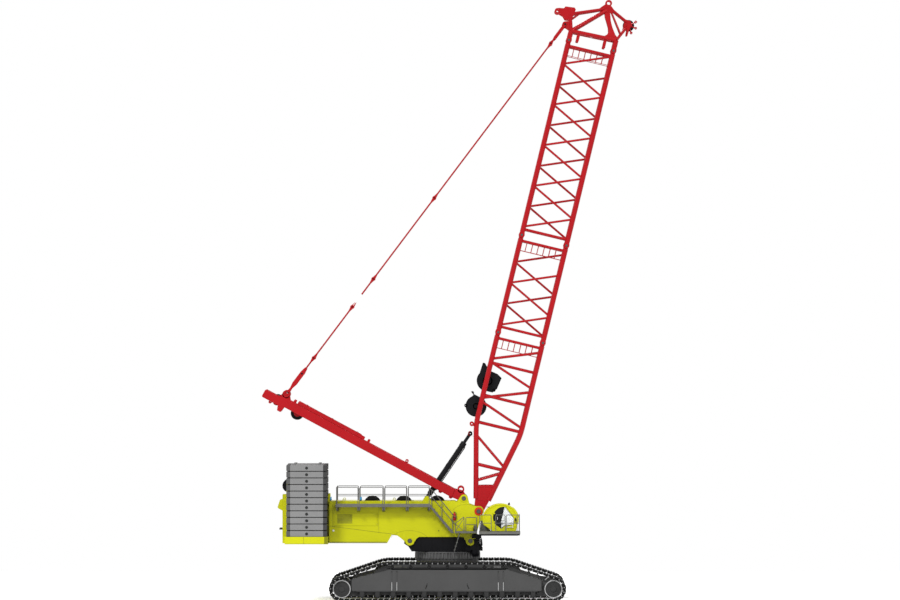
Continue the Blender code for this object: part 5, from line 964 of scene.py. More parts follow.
def carrier_rollers(middle):
    """Seven rollers on the frame's top, and the rail, posts and gussets that bear the track to its ends."""
    shapes = []
    for x in np.linspace(-3.3, 3.3, 7):
        shapes.append(drum((x, middle, 2.075), -0.36, 0.36, 0.115, sides=24))
        shapes.append(block((x - 0.07, x + 0.07), (middle - 0.42, middle + 0.42), (1.93, 2.08)))
    for way in (-1, 1):
        for x, z in ((4.88, 1.50), (5.42, 1.36)):
            top = TRACK_TOP - 0.20 - (x - TOP_HALF) * 0.385
            across = (middle - 0.40, middle + 0.40)
            shapes.append(block((way * x - 0.035, way * x + 0.035), across, (z - 0.06, top), 0.006))
        gusset = np.array([(3.40, 1.94), (3.40, 2.14), (3.86, 2.14), (4.30, 1.86), (4.42, 1.66)]) * (way, 1)
        shapes.append(plate(gusset, middle - 0.42, middle + 0.42, rim=0.006))
    shapes.append(block((-3.6, 3.6), (middle - 0.42, middle + 0.42), (1.98, 2.03), 0.006))
    return shapes


def crawler_wheel(kind, name, side, way):
    """Twin discs with a rim in pale steel grey as a painted highlight, a dished face and a ring of bolts; the
    drive wheel has teeth.
    """
    centre = np.array([way * AXLE_X, side * GAUGE / 2, AXLE_Z])
    body = f"{kind}_{name}"
    disc = [(0.158, 0.12), (0.158, 0.475), (0.20, 0.485), (0.40, 0.485), (0.435, 0.455), (0.435, 0.40),
            (0.415, 0.38),
            (0.415, 0.20), (0.45, 0.17), (0.455, 0.0)]
    shapes, rims = [], []
    for face in (-1, 1):
        shapes.append(turned(np.array(disc) * (face, 1), centre, sides=48))
        shapes.append(bolt_ring(centre + Y_AXIS * face * 0.415, 0.30, 12, 0.022, face * 0.02))
        # painted highlight: the rims take the pale steel grey
        rims.append(washer(centre, 0.478, 0.535, face * 0.17, face * 0.43, sides=48))
    shapes.append(drum(centre, -0.17, 0.17, 0.145, sides=24))
    if kind == "drive_wheel":
        shapes += [radial_bars(centre, 15, 0.50, 0.575, face * 0.36, 0.045, 8) for face in (-1, 1)]
    piece(f"{kind}_casting_{name}", shapes, "wheel", body, [body])
    piece(f"{kind}_rim_{name}", rims, "bright_edge", body)


def slewing_ring(teeth=56):
    """Ring with upright teeth: the radius alternates between root and tip round the circle."""
    turn = np.linspace(0, 2 * np.pi, teeth * 4, endpoint=False)
    toothed = 1.88 + 0.08 * np.tile([0.0, 0.0, 1.0, 1.0], teeth)
    levels = (2.49, toothed - 0.03), (2.51, toothed), (2.82, toothed), (2.84, toothed - 0.03)
    rings = [on_plan(radius * np.cos(turn), radius * np.sin(turn), z) for z, radius in levels]
    bolts = bolt_ring(np.array([0, 0, 2.90]), 1.88, 60, 0.022, -0.075, Z_AXIS)
    shapes = [loft(rings), washer((0, 0, 0), 1.50, 1.95, 2.84, 2.90, Z_AXIS, 96),
              washer((0, 0, 0), 1.50, 1.88, 2.47, 2.50, Z_AXIS, 96), bolts]
    piece("slewing_ring_gear", shapes, "ring", "undercarriage", ["slewing_ring"])


def undercarriage():
    for name, side in SIDES.items():
        track(name, side)
        crawler_frame(name, side)
        crawler_wheel("drive_wheel", name, side, -1)
        crawler_wheel("idler_wheel", name, side, 1)
    slewing_ring()


# ================================================================ superstructure
HALF_FRAME = 1.70


def seam(points, y, radius=0.007):
    """Dark line where two panels meet, following a path on the side panel."""
    path = np.array([(x, y, z) for x, z in points])
    return sweep(eased(path, 0.05, 3), radius, 6)


def upper_frame_details():
    """Panel seams, trim strip, pins with their rings, eyes, dots and small fittings on both sides."""
    dark, grey, ring, lime = [], [], [], []
    boom_pin, mast_pin = PIVOT["boom_luff"], PIVOT["mast_luff"]
    for side in SIDES.values():
        y = side * (HALF_FRAME + 0.001)
        dark.append(seam([(-6.87, 4.40), (-6.87, 5.80)], y))
        dark.append(seam([(-4.12, 4.02), (-4.12, 5.60)], y, 0.005))
        dark.append(seam([(-7.05, 4.46), (-6.76, 4.41), (-3.37, 3.98), (-3.00, 3.90)], y))
        hump = arc((-2.30, 3.56), (1.15, 0.62), 160, 25, 16)
        dark.append(sweep(side_on(hump[:, 0], hump[:, 1], y), 0.005, 6))
        dark.append(seam([(-7.05, 3.52), (-3.66, 3.52)], y, 0.005))
        brow = arc((1.10, 4.95), (0.95, 0.80), 150, 60, 10)
        dark.append(sweep(side_on(brow[:, 0], brow[:, 1], y), 0.004, 6))
        grey.append(block((-7.06, -3.64), (y - side * 0.01, y + side * 0.018), (3.432, 3.470), 0.004))
        for x, z in ((-0.05, 5.57), (-0.53, 4.17)):
            dark.append(drum((x, y, z), -0.01 * side, 0.012 * side, 0.035, sides=16))
        grey.append(washer((boom_pin[0], side * 1.70, boom_pin[2]), 0.08, 0.125, -0.075, 0.075, sides=32))
        grey.append(drum((boom_pin[0], side * 1.745, boom_pin[2]), -0.022, 0.022, 0.115, sides=32))
        grey.append(drum((mast_pin[0], side * 1.745, mast_pin[2]), -0.022, 0.022, 0.125, sides=32))
        ring.append(washer((boom_pin[0], side * 1.71, boom_pin[2]), 0.13, 0.25, -0.02, 0.022, sides=48))
        lime.append(washer((mast_pin[0], side * 1.71, mast_pin[2]), 0.14, 0.215, -0.02, 0.018, sides=40))
        for x in (-2.26, 1.37):
            grey.append(drum((x, side * 1.725, 3.56), -0.02, 0.02, 0.13, sides=32))
            lime.append(washer((x, side * 1.705, 3.56), 0.14, 0.27, -0.02, 0.016, sides=40))
            grey.append(bolt_ring(np.array([x, side * 1.745, 3.56]), 0.075, 3, 0.016, side * 0.012))
        outline = arc((boom_pin[0], boom_pin[2]), 0.30, -10, 110, 12)
        lime.append(sweep(side_on(outline[:, 0], outline[:, 1], side * 1.705), 0.02, 8))
        for x in (-6.2, -3.2):
            loop_path = eased([(x - 0.07, y, 5.93), (x - 0.07, y, 6.07), (x + 0.07, y, 6.07),
                               (x + 0.07, y, 5.93)], 0.05)
            lime.append(sweep(loop_path, 0.014, 8))
        lime.append(drum((-6.83, side * 1.71, 4.18), -0.02, 0.02, 0.08, sides=24))
    piece("panel_seams", dark, "dark_trim", "superstructure")
    piece("frame_pin_faces", grey, "pin", "superstructure")
    piece("boom_pin_rings", ring, "red_orange", "superstructure")
    piece("frame_bosses", lime, "lime", "superstructure")
    white = [drum((-6.83, side * 1.735, 4.18), -0.008, 0.008, 0.06, sides=24) for side in SIDES.values()]
    piece("fill_caps", white, "lamp", "superstructure")


def door_louvres():
    """Rows of narrow slats on each service door."""
    for name, side in SIDES.items():
        slats = [block((-6.60, -5.70), (side * 1.690, side * 1.708), (z, z + 0.03),
                       0.003) for z in np.arange(4.62, 5.12, 0.07)]
        piece(f"door_louvres_{name}", slats, "dark_trim", f"service_door_{name}")


def beacons():
    """Domed lens on a round foot at each of four places on the roof."""
    lenses, feet = [], []
    for x, z in ((-7.02, 5.95), (-5.20, 5.95)):
        for y in (-1.35, 1.35):
            feet.append(drum((x, y, z), -0.005, 0.05, 0.06, Z_AXIS, 20))
            dome = [(0.05, 0.050), (0.14, 0.050), (0.18, 0.040), (0.20, 0.018)]
            lenses.append(turned(dome, (x, y, z), Z_AXIS, 20))
    piece("beacon_lenses", lenses, "lens", "superstructure")
    piece("beacon_feet", feet, "dark_trim", "superstructure")


def hoist_drum(number):
    """Drum with ribbed flanges and wound rope."""
    name = f"hoist_drum_{number}"
    centre = PIVOT[f"{name}_spin"]
    flange = [(0.60, 0.11), (0.60, 0.50), (0.615, 0.52), (0.665, 0.52), (0.68, 0.505), (0.68, 0.30),
              (0.66, 0.28), (0.66, 0.11)]
    shapes = [turned(np.array(flange) * (face, 1), centre, sides=64, loop=True) for face in (-1, 1)]
    shapes.append(drum(centre, -0.755, 0.755, 0.098, sides=24))
    shapes += [radial_bars(centre, 8, 0.12, 0.49, face * 0.672, 0.012, 6) for face in (-1, 1)]
    piece(f"{name}_flanges", shapes, "black", name, [name])
    piece(f"{name}_rope", [wound_rope(centre, 0.60, 0.435, 0.012, 34, 48)], "rope", name)


def luffing_winch():
    """Plain drum between two flanges, with wound rope."""
    centre = PIVOT["luffing_winch_spin"]
    flange = [(0.72, 0.09), (0.72, 0.385), (0.735, 0.40), (0.765, 0.40), (0.78, 0.385), (0.78, 0.09)]
    shapes = [turned(np.array(flange) * (face, 1), centre, sides=56, loop=True) for face in (-1, 1)]
    shapes.append(drum(centre, -0.875, 0.875, 0.078, sides=20))
    piece("luffing_drum_flanges", shapes, "black", "luffing_winch", ["luffing_winch_drum"])
    piece("luffing_drum_rope", [wound_rope(centre, 0.72, 0.33, 0.010, 40, 40)], "rope", "luffing_winch")


SLAB_INNER, SLAB_OUTER = 1.05, 3.65
SLAB_COUNT, SLAB_PITCH, SLAB_SLIT = 11, 0.3927, 0.042
TRAY_TOP = 3.85


def counterweight(name, side):
    """Eleven slabs with open slits, an end block at each end in the slab grey darkened as painted shade, the
    front more than the rear, and a round boss on each outer face.
    """
    face = side * SLAB_OUTER
    low, high = sorted((side * SLAB_INNER, face))
    slabs, fronts, rears, bosses, spacers = [], [], [], [], []
    for k in range(SLAB_COUNT):
        bottom = TRAY_TOP + k * SLAB_PITCH
        top = bottom + SLAB_PITCH - SLAB_SLIT
        slabs.append(block((-9.40, -7.42), (low, high), (bottom, top), 0.02))
        # painted shade: the end blocks take the slab grey darkened, the front end more than the rear
        fronts.append(block((-7.425, -7.19), (low + 0.02, high - 0.02), (bottom + 0.004, top - 0.004), 0.02))
        rears.append(block((-9.62, -9.395), (low + 0.02, high - 0.02), (bottom + 0.004, top - 0.004), 0.02))
        bosses.append(drum((-8.41, face, (bottom + top) / 2), -0.02 * side, 0.025 * side, 0.085, sides=28))
        bosses.append(washer((-8.41, face, (bottom + top) / 2), 0.035, 0.06, 0.02 * side, 0.034 * side,
                             sides=20))
        for x in (-9.15, -7.67):
            for y in (low + 0.45, high - 0.45):
                spacers.append(drum((x, y, top), -0.01, SLAB_SLIT + 0.01, 0.09, Z_AXIS, 20))
    piece(f"slabs_{name}", slabs, "slab", "superstructure", [f"counterweight_stack_{name}"])
    piece(f"slab_front_shaded_ends_{name}", fronts, "slab_front", "superstructure")
    piece(f"slab_rear_shaded_ends_{name}", rears, "slab_rear", "superstructure")
    piece(f"slab_bosses_{name}", bosses, "dark_trim", "superstructure")
    piece(f"slab_spacers_{name}", spacers, "slab", "superstructure")


def tray_details():
    """Seam and corner pads of the tray, a darkened lime strip at its front end painted as shade, hooks at the
    tail and the black rear foot.
    """
    dark, lime, olive = [], [], []
    for side in SIDES.values():
        y = side * 3.7205
        dark.append(seam([(-8.59, 3.43), (-8.59, 3.84)], y, 0.006))
        dark.append(seam([(-9.70, 3.44), (-7.16, 3.44)], y, 0.005))
        # painted shade: a strip of darkened lime on the tray's front end
        olive.append(block((-7.36, -7.135), (y - side * 0.02, y + side * 0.004), (3.42, 3.845), 0.003))
        for x in (-9.50, -7.50):
            lime.append(drum((x, side * 3.3, 3.85), -0.01, 0.03, 0.07, Z_AXIS, 20))
        hook = outline_of((-9.90, 5.98), (-10.05, 5.98), (-10.02, 5.86), (-9.95, 5.80), (-10.14, 5.64),
                          (-10.10, 5.50), (-9.90, 5.42))
        lime.append(plate(hook, side * 0.80, side * 0.93, rim=0.01))
        dark.append(block((-10.08, -9.86), (side * 0.55, side * 0.85), (4.22, 4.31)))
        lime.append(block((-7.16, -7.04), (side * 1.30, side * 1.42), (5.9, 6.36)))
    piece("tray_seams", dark, "dark_trim", "superstructure")
    piece("tray_front_pads", olive, "lime_dark", "superstructure")
    piece("tail_hooks", lime, "lime", "superstructure")


def turntable_details():
    """Slew motors with their gearboxes, pipes and hoses at the front of the turntable."""
    black, pipe = [], []
    for side in SIDES.values():
        x, y = 1.66, side * 1.52
        stack_profile = [(2.62, 0.17), (2.64, 0.19), (2.80, 0.19), (2.82, 0.27), (3.30, 0.27), (3.32, 0.22),
                         (3.58, 0.22), (3.60, 0.25), (3.66, 0.25), (3.68, 0.16), (3.90, 0.16), (3.92, 0.12)]
        black.append(turned(stack_profile, (x, y, 0), Z_AXIS, 36))
        black.append(bolt_ring(np.array([x, y, 3.30]), 0.245, 12, 0.018, 0.03, Z_AXIS))
        black.append(block((1.93, 2.06), (side * 1.30, side * 1.62), (3.10, 3.34)))
        black.append(block((1.93, 2.10), (side * 0.80, side * 1.15), (2.96, 3.14)))
        for k, dz in enumerate((0.0, 0.09, 0.18)):
            path = eased([(1.70, side * (1.62 + 0.02 * k), 3.50 + dz),
                          (1.98 + 0.03 * k, side * 1.66, 3.50 + dz), (2.02 + 0.03 * k, side * 1.50,
                                                                      3.10 + dz),
                          (1.93, side * 1.20, 3.02 + dz)], 0.10, 6)
            pipe.append(sweep(path, 0.022, 10))
        black.append(block((-1.9, 1.2), (side * 1.575, side * 1.60), (2.96, 3.04), 0.006))
        for x in np.linspace(-1.6, 1.0, 5):
            black.append(block((x - 0.02, x + 0.02), (side * 1.575, side * 1.60), (3.04, 3.78), 0.005))
    piece("slew_drives", black, "black", "superstructure")
    piece("slew_hoses", pipe, "hose", "superstructure")


# ================================================================ walkways, stairs and platforms
TUBE = 0.021
KNEE_TUBE = TUBE * 0.85
WALKWAY_FLOOR = 5.76


def railing(start, end, foot, knee, top, bend=0.08):
    """One railing panel between two (x, y) places: a bent tube for posts and hand rail, and a knee rail."""
    hoop = eased([(*start, foot), (*start, top), (*end, top), (*end, foot)], bend)
    return [sweep(hoop, TUBE, 10), bar((*start, knee), (*end, knee), KNEE_TUBE, 10)]


def walkway(name, side):
    """Open deck with a kerb, brackets and four railing panels."""
    inner, outer = side * 1.702, side * 2.45
    deck = [block((-6.70, -1.03), (inner, outer), (5.62, 5.755), 0.008)]
    for x in np.arange(-6.62, -1.05, 0.16):
        deck.append(block((x - 0.012, x + 0.012), (inner + side * 0.03, outer - side * 0.03), (5.75, 5.768),
                          0.003))
    deck.append(block((-6.70, -1.03), (outer - side * 0.012, outer + side * 0.002), (5.60, 5.80), 0.003))
    rails = []
    y = outer - side * 0.05
    posts = (-6.62, -5.36, -5.26, -3.87, -3.77, -2.46, -2.36, -1.10)
    for x0, x1 in zip(posts[::2], posts[1::2]):
        rails += railing((x0, y), (x1, y), WALKWAY_FLOOR - 0.32, WALKWAY_FLOOR + 0.51, WALKWAY_FLOOR + 1.02,
                         0.09)
        for x in (x0, x1):
            rails.append(block((x - 0.035, x + 0.035), (y - 0.03, y + 0.03), (5.40, 5.62), 0.005))
    rails += railing((-6.64, side * 1.76), (-6.64, y), 5.74, 6.25, 6.78, 0.09)
    brackets = []
    for x in (-6.55, -5.31, -3.82, -2.41, -1.12):
        triangle = [(inner, 5.30), (inner, 5.63), (outer - side * 0.03, 5.63), (outer - side * 0.03, 5.58)]
        for dx in (-0.05, 0.05):
            brackets.append(plate(triangle, x + dx - 0.012, x + dx + 0.012, end_on, 0.003))
    piece(f"walkway_deck_{name}", deck + brackets, "deck", "superstructure", [f"walkway_{name}"])
    piece(f"walkway_rails_{name}", rails, "rail", "superstructure")


def stair_flight():
    """Stringers, treads with kerbs, and sloping hand rails from the right walkway to the landing."""
    head, foot = np.array([-1.03, 5.73]), np.array([0.35, 4.05])
    inner, outer = -1.80, -2.45
    shapes, treads = [], []
    for y in (inner, outer + 0.03):
        stringer = [head, head - (0, 0.17), foot - (0.13, 0), foot + (0.05, 0)]
        shapes.append(plate(stringer, y - 0.03, y, rim=0.006))
    count = 7
    for k in range(1, count + 1):
        x, z = head + (foot - head) * k / (count + 1)
        treads.append(block((x - 0.15, x + 0.09), (inner - 0.02, outer + 0.02), (z - 0.06, z - 0.025), 0.006))
        treads.append(block((x + 0.075, x + 0.095), (inner - 0.02, outer + 0.02), (z - 0.085, z - 0.020),
                            0.003))
    for y in (outer + 0.015, inner - 0.015):
        for height, radius in ((0.93, TUBE), (0.50, KNEE_TUBE)):
            start, end = head + (0.0, height), foot + (0.05, height)
            path = eased([(start[0] - 0.05, y, start[1]), (start[0] + 0.10, y, start[1] - 0.04),
                          (end[0], y, end[1] + 0.06), (end[0] + 0.12, y, end[1] + 0.02)], 0.1)
            shapes.append(sweep(path, radius, 10))
        for t in (0.06, 0.5, 0.96):
            x, z = head + (foot - head) * t
            shapes.append(bar((x, y, z - 0.08), (x, y, z + 0.93), TUBE, 10))
    piece("stair_stringers", shapes, "rail", "superstructure", ["stairs"])
    piece("stair_treads", treads, "deck", "superstructure")


def landing():
    """Deck at the stair's foot with crossed rails, the lime box, a locker and the slanting ladder."""
    inner, outer = -1.702, -2.55
    rear, front = 0.43, 1.77
    deck = [block((rear, front), (inner, outer), (4.04, 4.155), 0.006)]
    for x in np.arange(rear + 0.08, front, 0.14):
        deck.append(block((x - 0.010, x + 0.010), (inner - 0.03, outer + 0.03), (4.15, 4.164), 0.003))
    y = outer + 0.05
    rails = railing((1.09, y), (1.74, y), 4.10, 4.56, 4.98, 0.07)
    rails.append(sweep(eased([(0.46, y, 4.10), (0.46, y, 4.62), (0.98, y, 5.02), (0.98, y, 4.10)], 0.07),
                       TUBE, 10))
    rails.append(bar((0.46, y, 4.16), (0.98, y, 4.95), TUBE * 0.7, 8))
    rails.append(bar((0.46, y, 4.60), (0.98, y, 4.16), TUBE * 0.7, 8))
    foot, head = np.array([0.40, 2.95]), np.array([0.73, 4.06])
    for y in (outer + 0.04, outer + 0.49):
        rails.append(bar((foot[0], y, foot[1]), (head[0], y, head[1] + 0.02), 0.026, 10))
    rungs, steps = 5, []
    for k in range(rungs):
        x, z = foot + (head - foot) * (k + 0.4) / rungs
        steps.append(block((x - 0.06, x + 0.06), (outer + 0.03, outer + 0.50), (z - 0.016, z + 0.016), 0.004))
    piece("landing_deck", deck + steps, "deck", "superstructure", ["landing"])
    piece("landing_rails", rails, "rail", "superstructure")
    piece("landing_box", [block((1.07, 1.54), (inner - 0.02, inner - 0.50), (4.14, 4.45), 0.02),
                          block((1.10, 1.51), (inner - 0.495, inner - 0.512), (4.19, 4.40),
                                0.005)], "lime", "superstructure")
    piece("landing_locker", [block((1.56, 1.74), (inner - 0.05, inner - 0.35), (4.14, 4.50), 0.02)], "deck",
          "superstructure")


def extinguisher():
    """Bottle with a domed top, its valve, hose and strap, on the side panel above the landing."""
    centre = (0.41, -1.80, 4.78)
    bottle = [(0.0, 0.05), (0.015, 0.075), (0.03, 0.08), (0.38, 0.08), (0.43, 0.065), (0.46, 0.03),
              (0.50, 0.028)]
    piece("extinguisher_bottle", [turned(bottle, centre, Z_AXIS, 28)], "bottle", "superstructure")
    x, y, z = centre
    hose = eased([(x, y, z + 0.50), (x + 0.11, y, z + 0.47), (x + 0.12, y, z + 0.20),
                  (x + 0.09, y, z + 0.06)], 0.08, 6)
    fittings = [sweep(hose, 0.012, 8), block((x - 0.05, x + 0.04), (y - 0.02, y + 0.02), (z + 0.50, z + 0.53),
                                             0.004),
                washer((x, y, z + 0.20), 0.078, 0.086, -0.015, 0.015, Z_AXIS, 28),
                block((x - 0.03, x + 0.03), (y + 0.07, y + 0.11), (z + 0.10, z + 0.40), 0.005)]
    piece("extinguisher_fittings", fittings, "hose", "superstructure")


def cab_platform():
    """Deck that carries the cab, with a black under rail, grey bracket and three-sided railing."""
    inner, outer = -1.703, -4.30
    deck = [block((1.88, 4.33), (inner - 0.05, outer), (4.02, 4.178), 0.008)]
    for x in np.arange(2.0, 4.3, 0.15):
        deck.append(block((x - 0.010, x + 0.010), (-3.46, outer + 0.03), (4.175, 4.184), 0.003))
    under = [block((1.90, 4.31), (inner - 0.07, outer + 0.02), (3.95, 4.022), 0.006),
             block((1.45, 2.02), (inner - 0.01, inner - 0.24), (3.72, 3.96), 0.01),
             block((1.95, 4.23), (inner - 0.01, inner - 0.24), (3.88, 3.96), 0.01)]
    y, front = outer + 0.05, 4.28
    panels = (((2.87, y), (3.43, y)), ((3.50, y), (front, y)), ((front, y), (front, inner - 0.12)),
              ((1.92, y), (2.60, y)))
    rails = [bar((4.14, y, 4.16), (4.14, y, 5.16), TUBE, 10)]
    for start, end in panels:
        rails += railing(start, end, 4.16, 4.68, 5.17)
    gusset = [(1.94, 4.17), (2.58, 4.17), (2.06, 4.78), (1.98, 4.78)]
    bracket = [plate(gusset, inner - 0.12, inner - 0.06, rim=0.006),
               washer((2.12, inner - 0.09, 4.36), 0.03, 0.09, -0.035, 0.035, sides=20)]
    web = [(1.84, 4.72), (2.15, 4.72), (2.15, 5.02), (2.07, 5.12), (1.88, 5.02)]
    piece("cab_side_web", [plate(web, inner - 0.04, inner - 0.055, rim=0.004)], "lime", "superstructure")
    piece("cab_deck", deck + bracket, "deck", "superstructure", ["cab_platform"])
    piece("cab_deck_beams", under, "black", "superstructure")
    piece("cab_deck_rails", rails, "rail", "superstructure")


# ================================================================ cab
CAB_NEAR, CAB_FAR = -3.40, -1.85
EGG_CENTRE, EGG_RADIUS = (3.16, 4.86), (1.07, 0.95)
WINDOW_CENTRE, WINDOW_RADIUS = (3.36, 4.99), 0.64
CAB_ARCH = (1.085, 0.965)                # posts and wiper follow this ellipse, just outside the windscreen
CAB_LAMP = (3.72, -2.62, 5.80)


def egg(inset=0.0, steps=64):
    """Side outline of the cab: most of an ellipse that stands on a flat foot."""
    radius = (EGG_RADIUS[0] - inset, EGG_RADIUS[1] - inset)
    floor = 4.182 + inset
    return outline_of((4.07 - inset, floor), arc(EGG_CENTRE, radius, -6, 196, steps),
                      (2.66 + inset * 0.6, floor))


def cab_trims():
    """Rounded lime rims along both edges, window gaskets, wiper, mirror, lamp, grab rails and front posts."""
    lime, black, steel = [], [], []
    outline = egg(0.035)
    for y, way in ((CAB_NEAR + 0.012, -1), (CAB_FAR - 0.012, 1)):
        lime.append(sweep(side_on(outline[:, 0], outline[:, 1], y), 0.046, 12, loop=True))
        inner_line = egg(0.16)[3:-3]
        lime.append(sweep(side_on(inner_line[:, 0], inner_line[:, 1], y + way * 0.012), 0.006, 6))
        window = arc(WINDOW_CENTRE, WINDOW_RADIUS, 82, 222, 40)
        path = outline_of(window, (3.22, 4.335), (3.38, 4.495), (3.95, 4.575), (3.965, 4.93))
        black.append(sweep(eased(side_on(path[:, 0], path[:, 1], y + way * 0.012), 0.02, 2), 0.011, 8,
                           loop=True))
    posts = arc(EGG_CENTRE, CAB_ARCH, 48, 8, 14)
    for y in (CAB_NEAR + 0.16, CAB_FAR - 0.16):
        lime.append(sweep(side_on(posts[:, 0], posts[:, 1], y), 0.028, 10))
    lime.append(sweep([(3.53, CAB_NEAR + 0.02, 5.66), (3.80, CAB_NEAR + 0.01, 5.32),
                       (4.02, CAB_NEAR + 0.02, 4.93)], 0.048, 12))
    for z in (4.42, 4.60):
        steel.append(bar((3.50, CAB_NEAR - 0.05, z), (3.90, CAB_NEAR - 0.05, z), 0.016, 10))
    for x in (3.52, 3.88):
        steel.append(bar((x, CAB_NEAR - 0.055, 4.40), (x, CAB_NEAR - 0.055, 4.62), 0.014, 8))
        steel.append(bar((x, CAB_NEAR + 0.01, 4.50), (x, CAB_NEAR - 0.055, 4.50), 0.012, 8))
    black.append(turned([(-0.11, 0.02), (-0.09, 0.05), (-0.03, 0.078), (0.0, 0.078)], CAB_LAMP, X_AXIS, 24))
    black.append(bar((3.62, CAB_LAMP[1], 5.66), (3.62, CAB_LAMP[1], 5.78), 0.014, 8))
    mirror = arc((4.06, 4.87), (0.045, 0.12), 0, 345, 23)
    black.append(plate(mirror, CAB_NEAR - 0.16, CAB_NEAR - 0.10, rim=0.012))
    black.append(sweep(eased([(3.98, CAB_NEAR + 0.02, 4.75), (4.05, CAB_NEAR - 0.13, 4.70),
                              (4.06, CAB_NEAR - 0.13, 4.80)], 0.03), 0.010, 8))
    wiper = arc(EGG_CENTRE, CAB_ARCH, 12, 32, 8)
    black.append(sweep(side_on(wiper[:, 0], wiper[:, 1], CAB_LAMP[1]), 0.010, 6))
    for x in (2.45, 2.85, 3.25):
        black.append(block((x - 0.13, x + 0.13), (CAB_NEAR + 0.3, CAB_FAR - 0.3), (5.60, 5.62), 0.004))
    piece("cab_rims", lime, "lime", "superstructure")
    piece("cab_gaskets", black, "black", "superstructure")
    piece("cab_grab_rails", steel, "pale_steel", "superstructure")
    piece("cab_lamp_lens", [drum(CAB_LAMP, -0.03, 0.03, 0.07, X_AXIS, 24)], "lamp", "superstructure")


def cab_door():
    """Tinted pane with a round edge, two hinges and a bent handle, all on the door's body."""
    x, z = WINDOW_CENTRE
    reach = WINDOW_RADIUS - 0.010
    pane = outline_of((x + 0.04, z + reach), arc((x, z), reach, 95, 222, 44), (x - 0.145, z - 0.642),
                      (x - 0.18, z - 0.28))
    hinge = PIVOT["cab_door_swing"]
    leaves = []
    for height in (z - 0.25, z + 0.25):
        leaves.append(drum((hinge[0], hinge[1], height), -0.05, 0.05, 0.018, Z_AXIS, 20))
        leaves.append(block((hinge[0], hinge[0] + 0.13), (CAB_NEAR - 0.012, CAB_NEAR - 0.001),
                            (height - 0.04, height + 0.04), 0.004))
    piece("cab_door_pane", [plate(pane, CAB_NEAR, CAB_NEAR + 0.07, rim=0.010)], "tinted", "cab_door",
          ["cab_door"])
    piece("cab_door_hinges", leaves, "lime", "cab_door")
    handle = eased([(2.98, CAB_NEAR - 0.002, 4.86), (2.98, CAB_NEAR - 0.045, 4.86),
                    (2.98, CAB_NEAR - 0.045, 5.02), (2.98, CAB_NEAR - 0.002, 5.02)], 0.02)
    piece("cab_door_handle", [sweep(handle, 0.011, 8)], "pale_steel", "cab_door")


def cab_inside():
    """Padded seat with arm rests and a head rest, and sloping consoles with levers."""
    middle = (CAB_NEAR + CAB_FAR) / 2
    cushion = pillow((3.07, middle, 4.61), (0.28, 0.27, 0.085), 0.0)
    back = pillow((2.86, middle, 4.97), (0.33, 0.25, 0.075), math.radians(100))
    rest = pillow((2.80, middle, 5.34), (0.10, 0.14, 0.05), math.radians(98))
    piece("seat_cushions", [cushion, back, rest], "seat", "superstructure", ["operator_seat"])
    base = [turned([(4.255, 0.20), (4.28, 0.20), (4.32, 0.09), (4.50, 0.07), (4.53, 0.16), (4.545, 0.16)],
                   (3.06, middle, 0), Z_AXIS, 28)]
    for side in (-1, 1):
        y = middle + side * 0.36
        base.append(block((2.92, 3.42), (y - 0.05, y + 0.05), (4.76, 4.80), 0.015))
        base.append(bar((3.36, y, 4.80), (3.38, y, 4.94), 0.011, 8))
        base.append(turned([(-0.03, 0.012), (-0.01, 0.024), (0.02, 0.024), (0.035, 0.010)], (3.38, y, 4.95),
                           Z_AXIS, 14))
    panel = [(3.62, 4.255), (3.84, 4.255), (3.92, 4.62), (3.82, 4.70), (3.62, 4.58)]
    base.append(plate(panel, middle - 0.35, middle + 0.35, rim=0.02))
    piece("cab_console", base, "olive", "superstructure", ["control_console"])


def pillow(centre, half, tilt):
    """Closed pad: a superellipsoid, cos and sin each raised to a power under one, turned about Y."""
    a, b = np.meshgrid(np.linspace(-np.pi / 2, np.pi / 2, 19), np.linspace(0, 2 * np.pi, 36, endpoint=False),
                       indexing="ij")

    def power(value, k):
        return np.sign(value) * np.abs(value) ** k

    x = half[0] * power(np.cos(a), 0.45) * power(np.cos(b), 0.35)
    y = half[1] * power(np.cos(a), 0.45) * power(np.sin(b), 0.35)
    z = half[2] * power(np.sin(a), 0.9)
    turned_x = x * math.cos(tilt) - z * math.sin(tilt)
    turned_z = x * math.sin(tilt) + z * math.cos(tilt)
    rings = np.stack([turned_x + centre[0], y + centre[1], turned_z + centre[2]], axis=-1)
    return loft(rings[1:-1])


def superstructure():
    """Everything that turns with the upper frame, from its seams to the inside of the cab."""
    upper_frame_details()
    door_louvres()
    beacons()
    for number in (1, 2, 3):
        hoist_drum(number)
    luffing_winch()
    for name, side in SIDES.items():
        counterweight(name, side)
        walkway(name, side)
    tray_details()
    turntable_details()
    stair_flight()
    landing()
    extinguisher()
    cab_platform()
    cab_trims()
    cab_door()
    cab_inside()


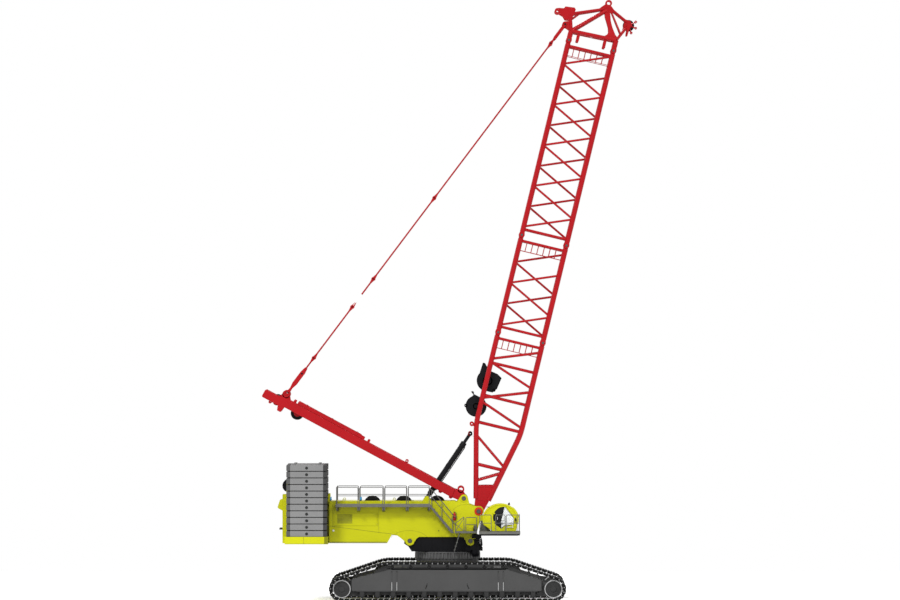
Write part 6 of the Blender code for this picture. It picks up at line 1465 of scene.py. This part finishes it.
# ================================================================ kept nodes
KEPT = {
    "carbody": "frame", "turntable_frame": "black", "upper_frame": "lime", "engine_block": "black",
    "tail_frame": "lime", "service_door_right": "lime", "service_door_left": "lime", "cab_shell": "lime",
    "cab_glass_outer": "clear", "cab_glass_inner": "clear", "windscreen": "clear",
}


def dress_kept_nodes():
    """Gives each node that stays its finish."""
    for name, look in KEPT.items():
        node = frame["nodes"][name]
        node.data.materials.clear()
        node.data.materials.append(FINISHES[look][0])


# ================================================================ studio
def studio():
    """Pale floor, soft light from above and in front, and a very long lens square to the right side."""
    world = bpy.data.worlds.new("studio")
    bpy.context.scene.world = world
    world.use_nodes = True
    background = world.node_tree.nodes["Background"]
    background.inputs["Color"].default_value = (1.0, 1.0, 1.0, 1.0)
    background.inputs["Strength"].default_value = 1.0

    half, level = 60.0, -0.004
    corners = [(-half, -half, level), (half, -half, level), (half, half, level), (-half, half, level)]
    mesh = bpy.data.meshes.new("floor")
    mesh.from_pydata(corners, [], [(0, 1, 2, 3)])
    floor = bpy.data.objects.new("floor", mesh)
    bpy.context.scene.collection.objects.link(floor)
    paper = finish("floor_paper", (0.90, 0.90, 0.90), 0.01, 0.05, (0.85, 0.95), 8, 0.0)
    mesh.materials.append(paper)

    for name, energy, turn in (("key", 2.2, (50, 0, -25)), ("fill", 0.7, (65, 0, 35)),
                               ("back", 0.8, (-50, 0, 20))):
        lamp = bpy.data.lights.new(name, "SUN")
        lamp.energy = energy
        lamp.angle = math.radians(12)
        holder = bpy.data.objects.new(name, lamp)
        holder.rotation_euler = tuple(math.radians(part) for part in turn)
        bpy.context.scene.collection.objects.link(holder)

    lens = bpy.data.cameras.new("camera")
    lens.lens, lens.sensor_width = 400.0, 36.0
    lens.clip_start, lens.clip_end = 10.0, 3000.0
    camera = bpy.data.objects.new("camera", lens)
    camera.location = (0.144, -600.0, 17.976)
    camera.rotation_euler = (math.radians(90), 0, 0)
    bpy.context.scene.collection.objects.link(camera)
    bpy.context.scene.camera = camera


bpy.context.scene.view_settings.view_transform = "Standard"
studio()
dress_kept_nodes()
boom()
mast()
main_stays()
backstops()
undercarriage()
superstructure()

bpy.context.view_layer.update()
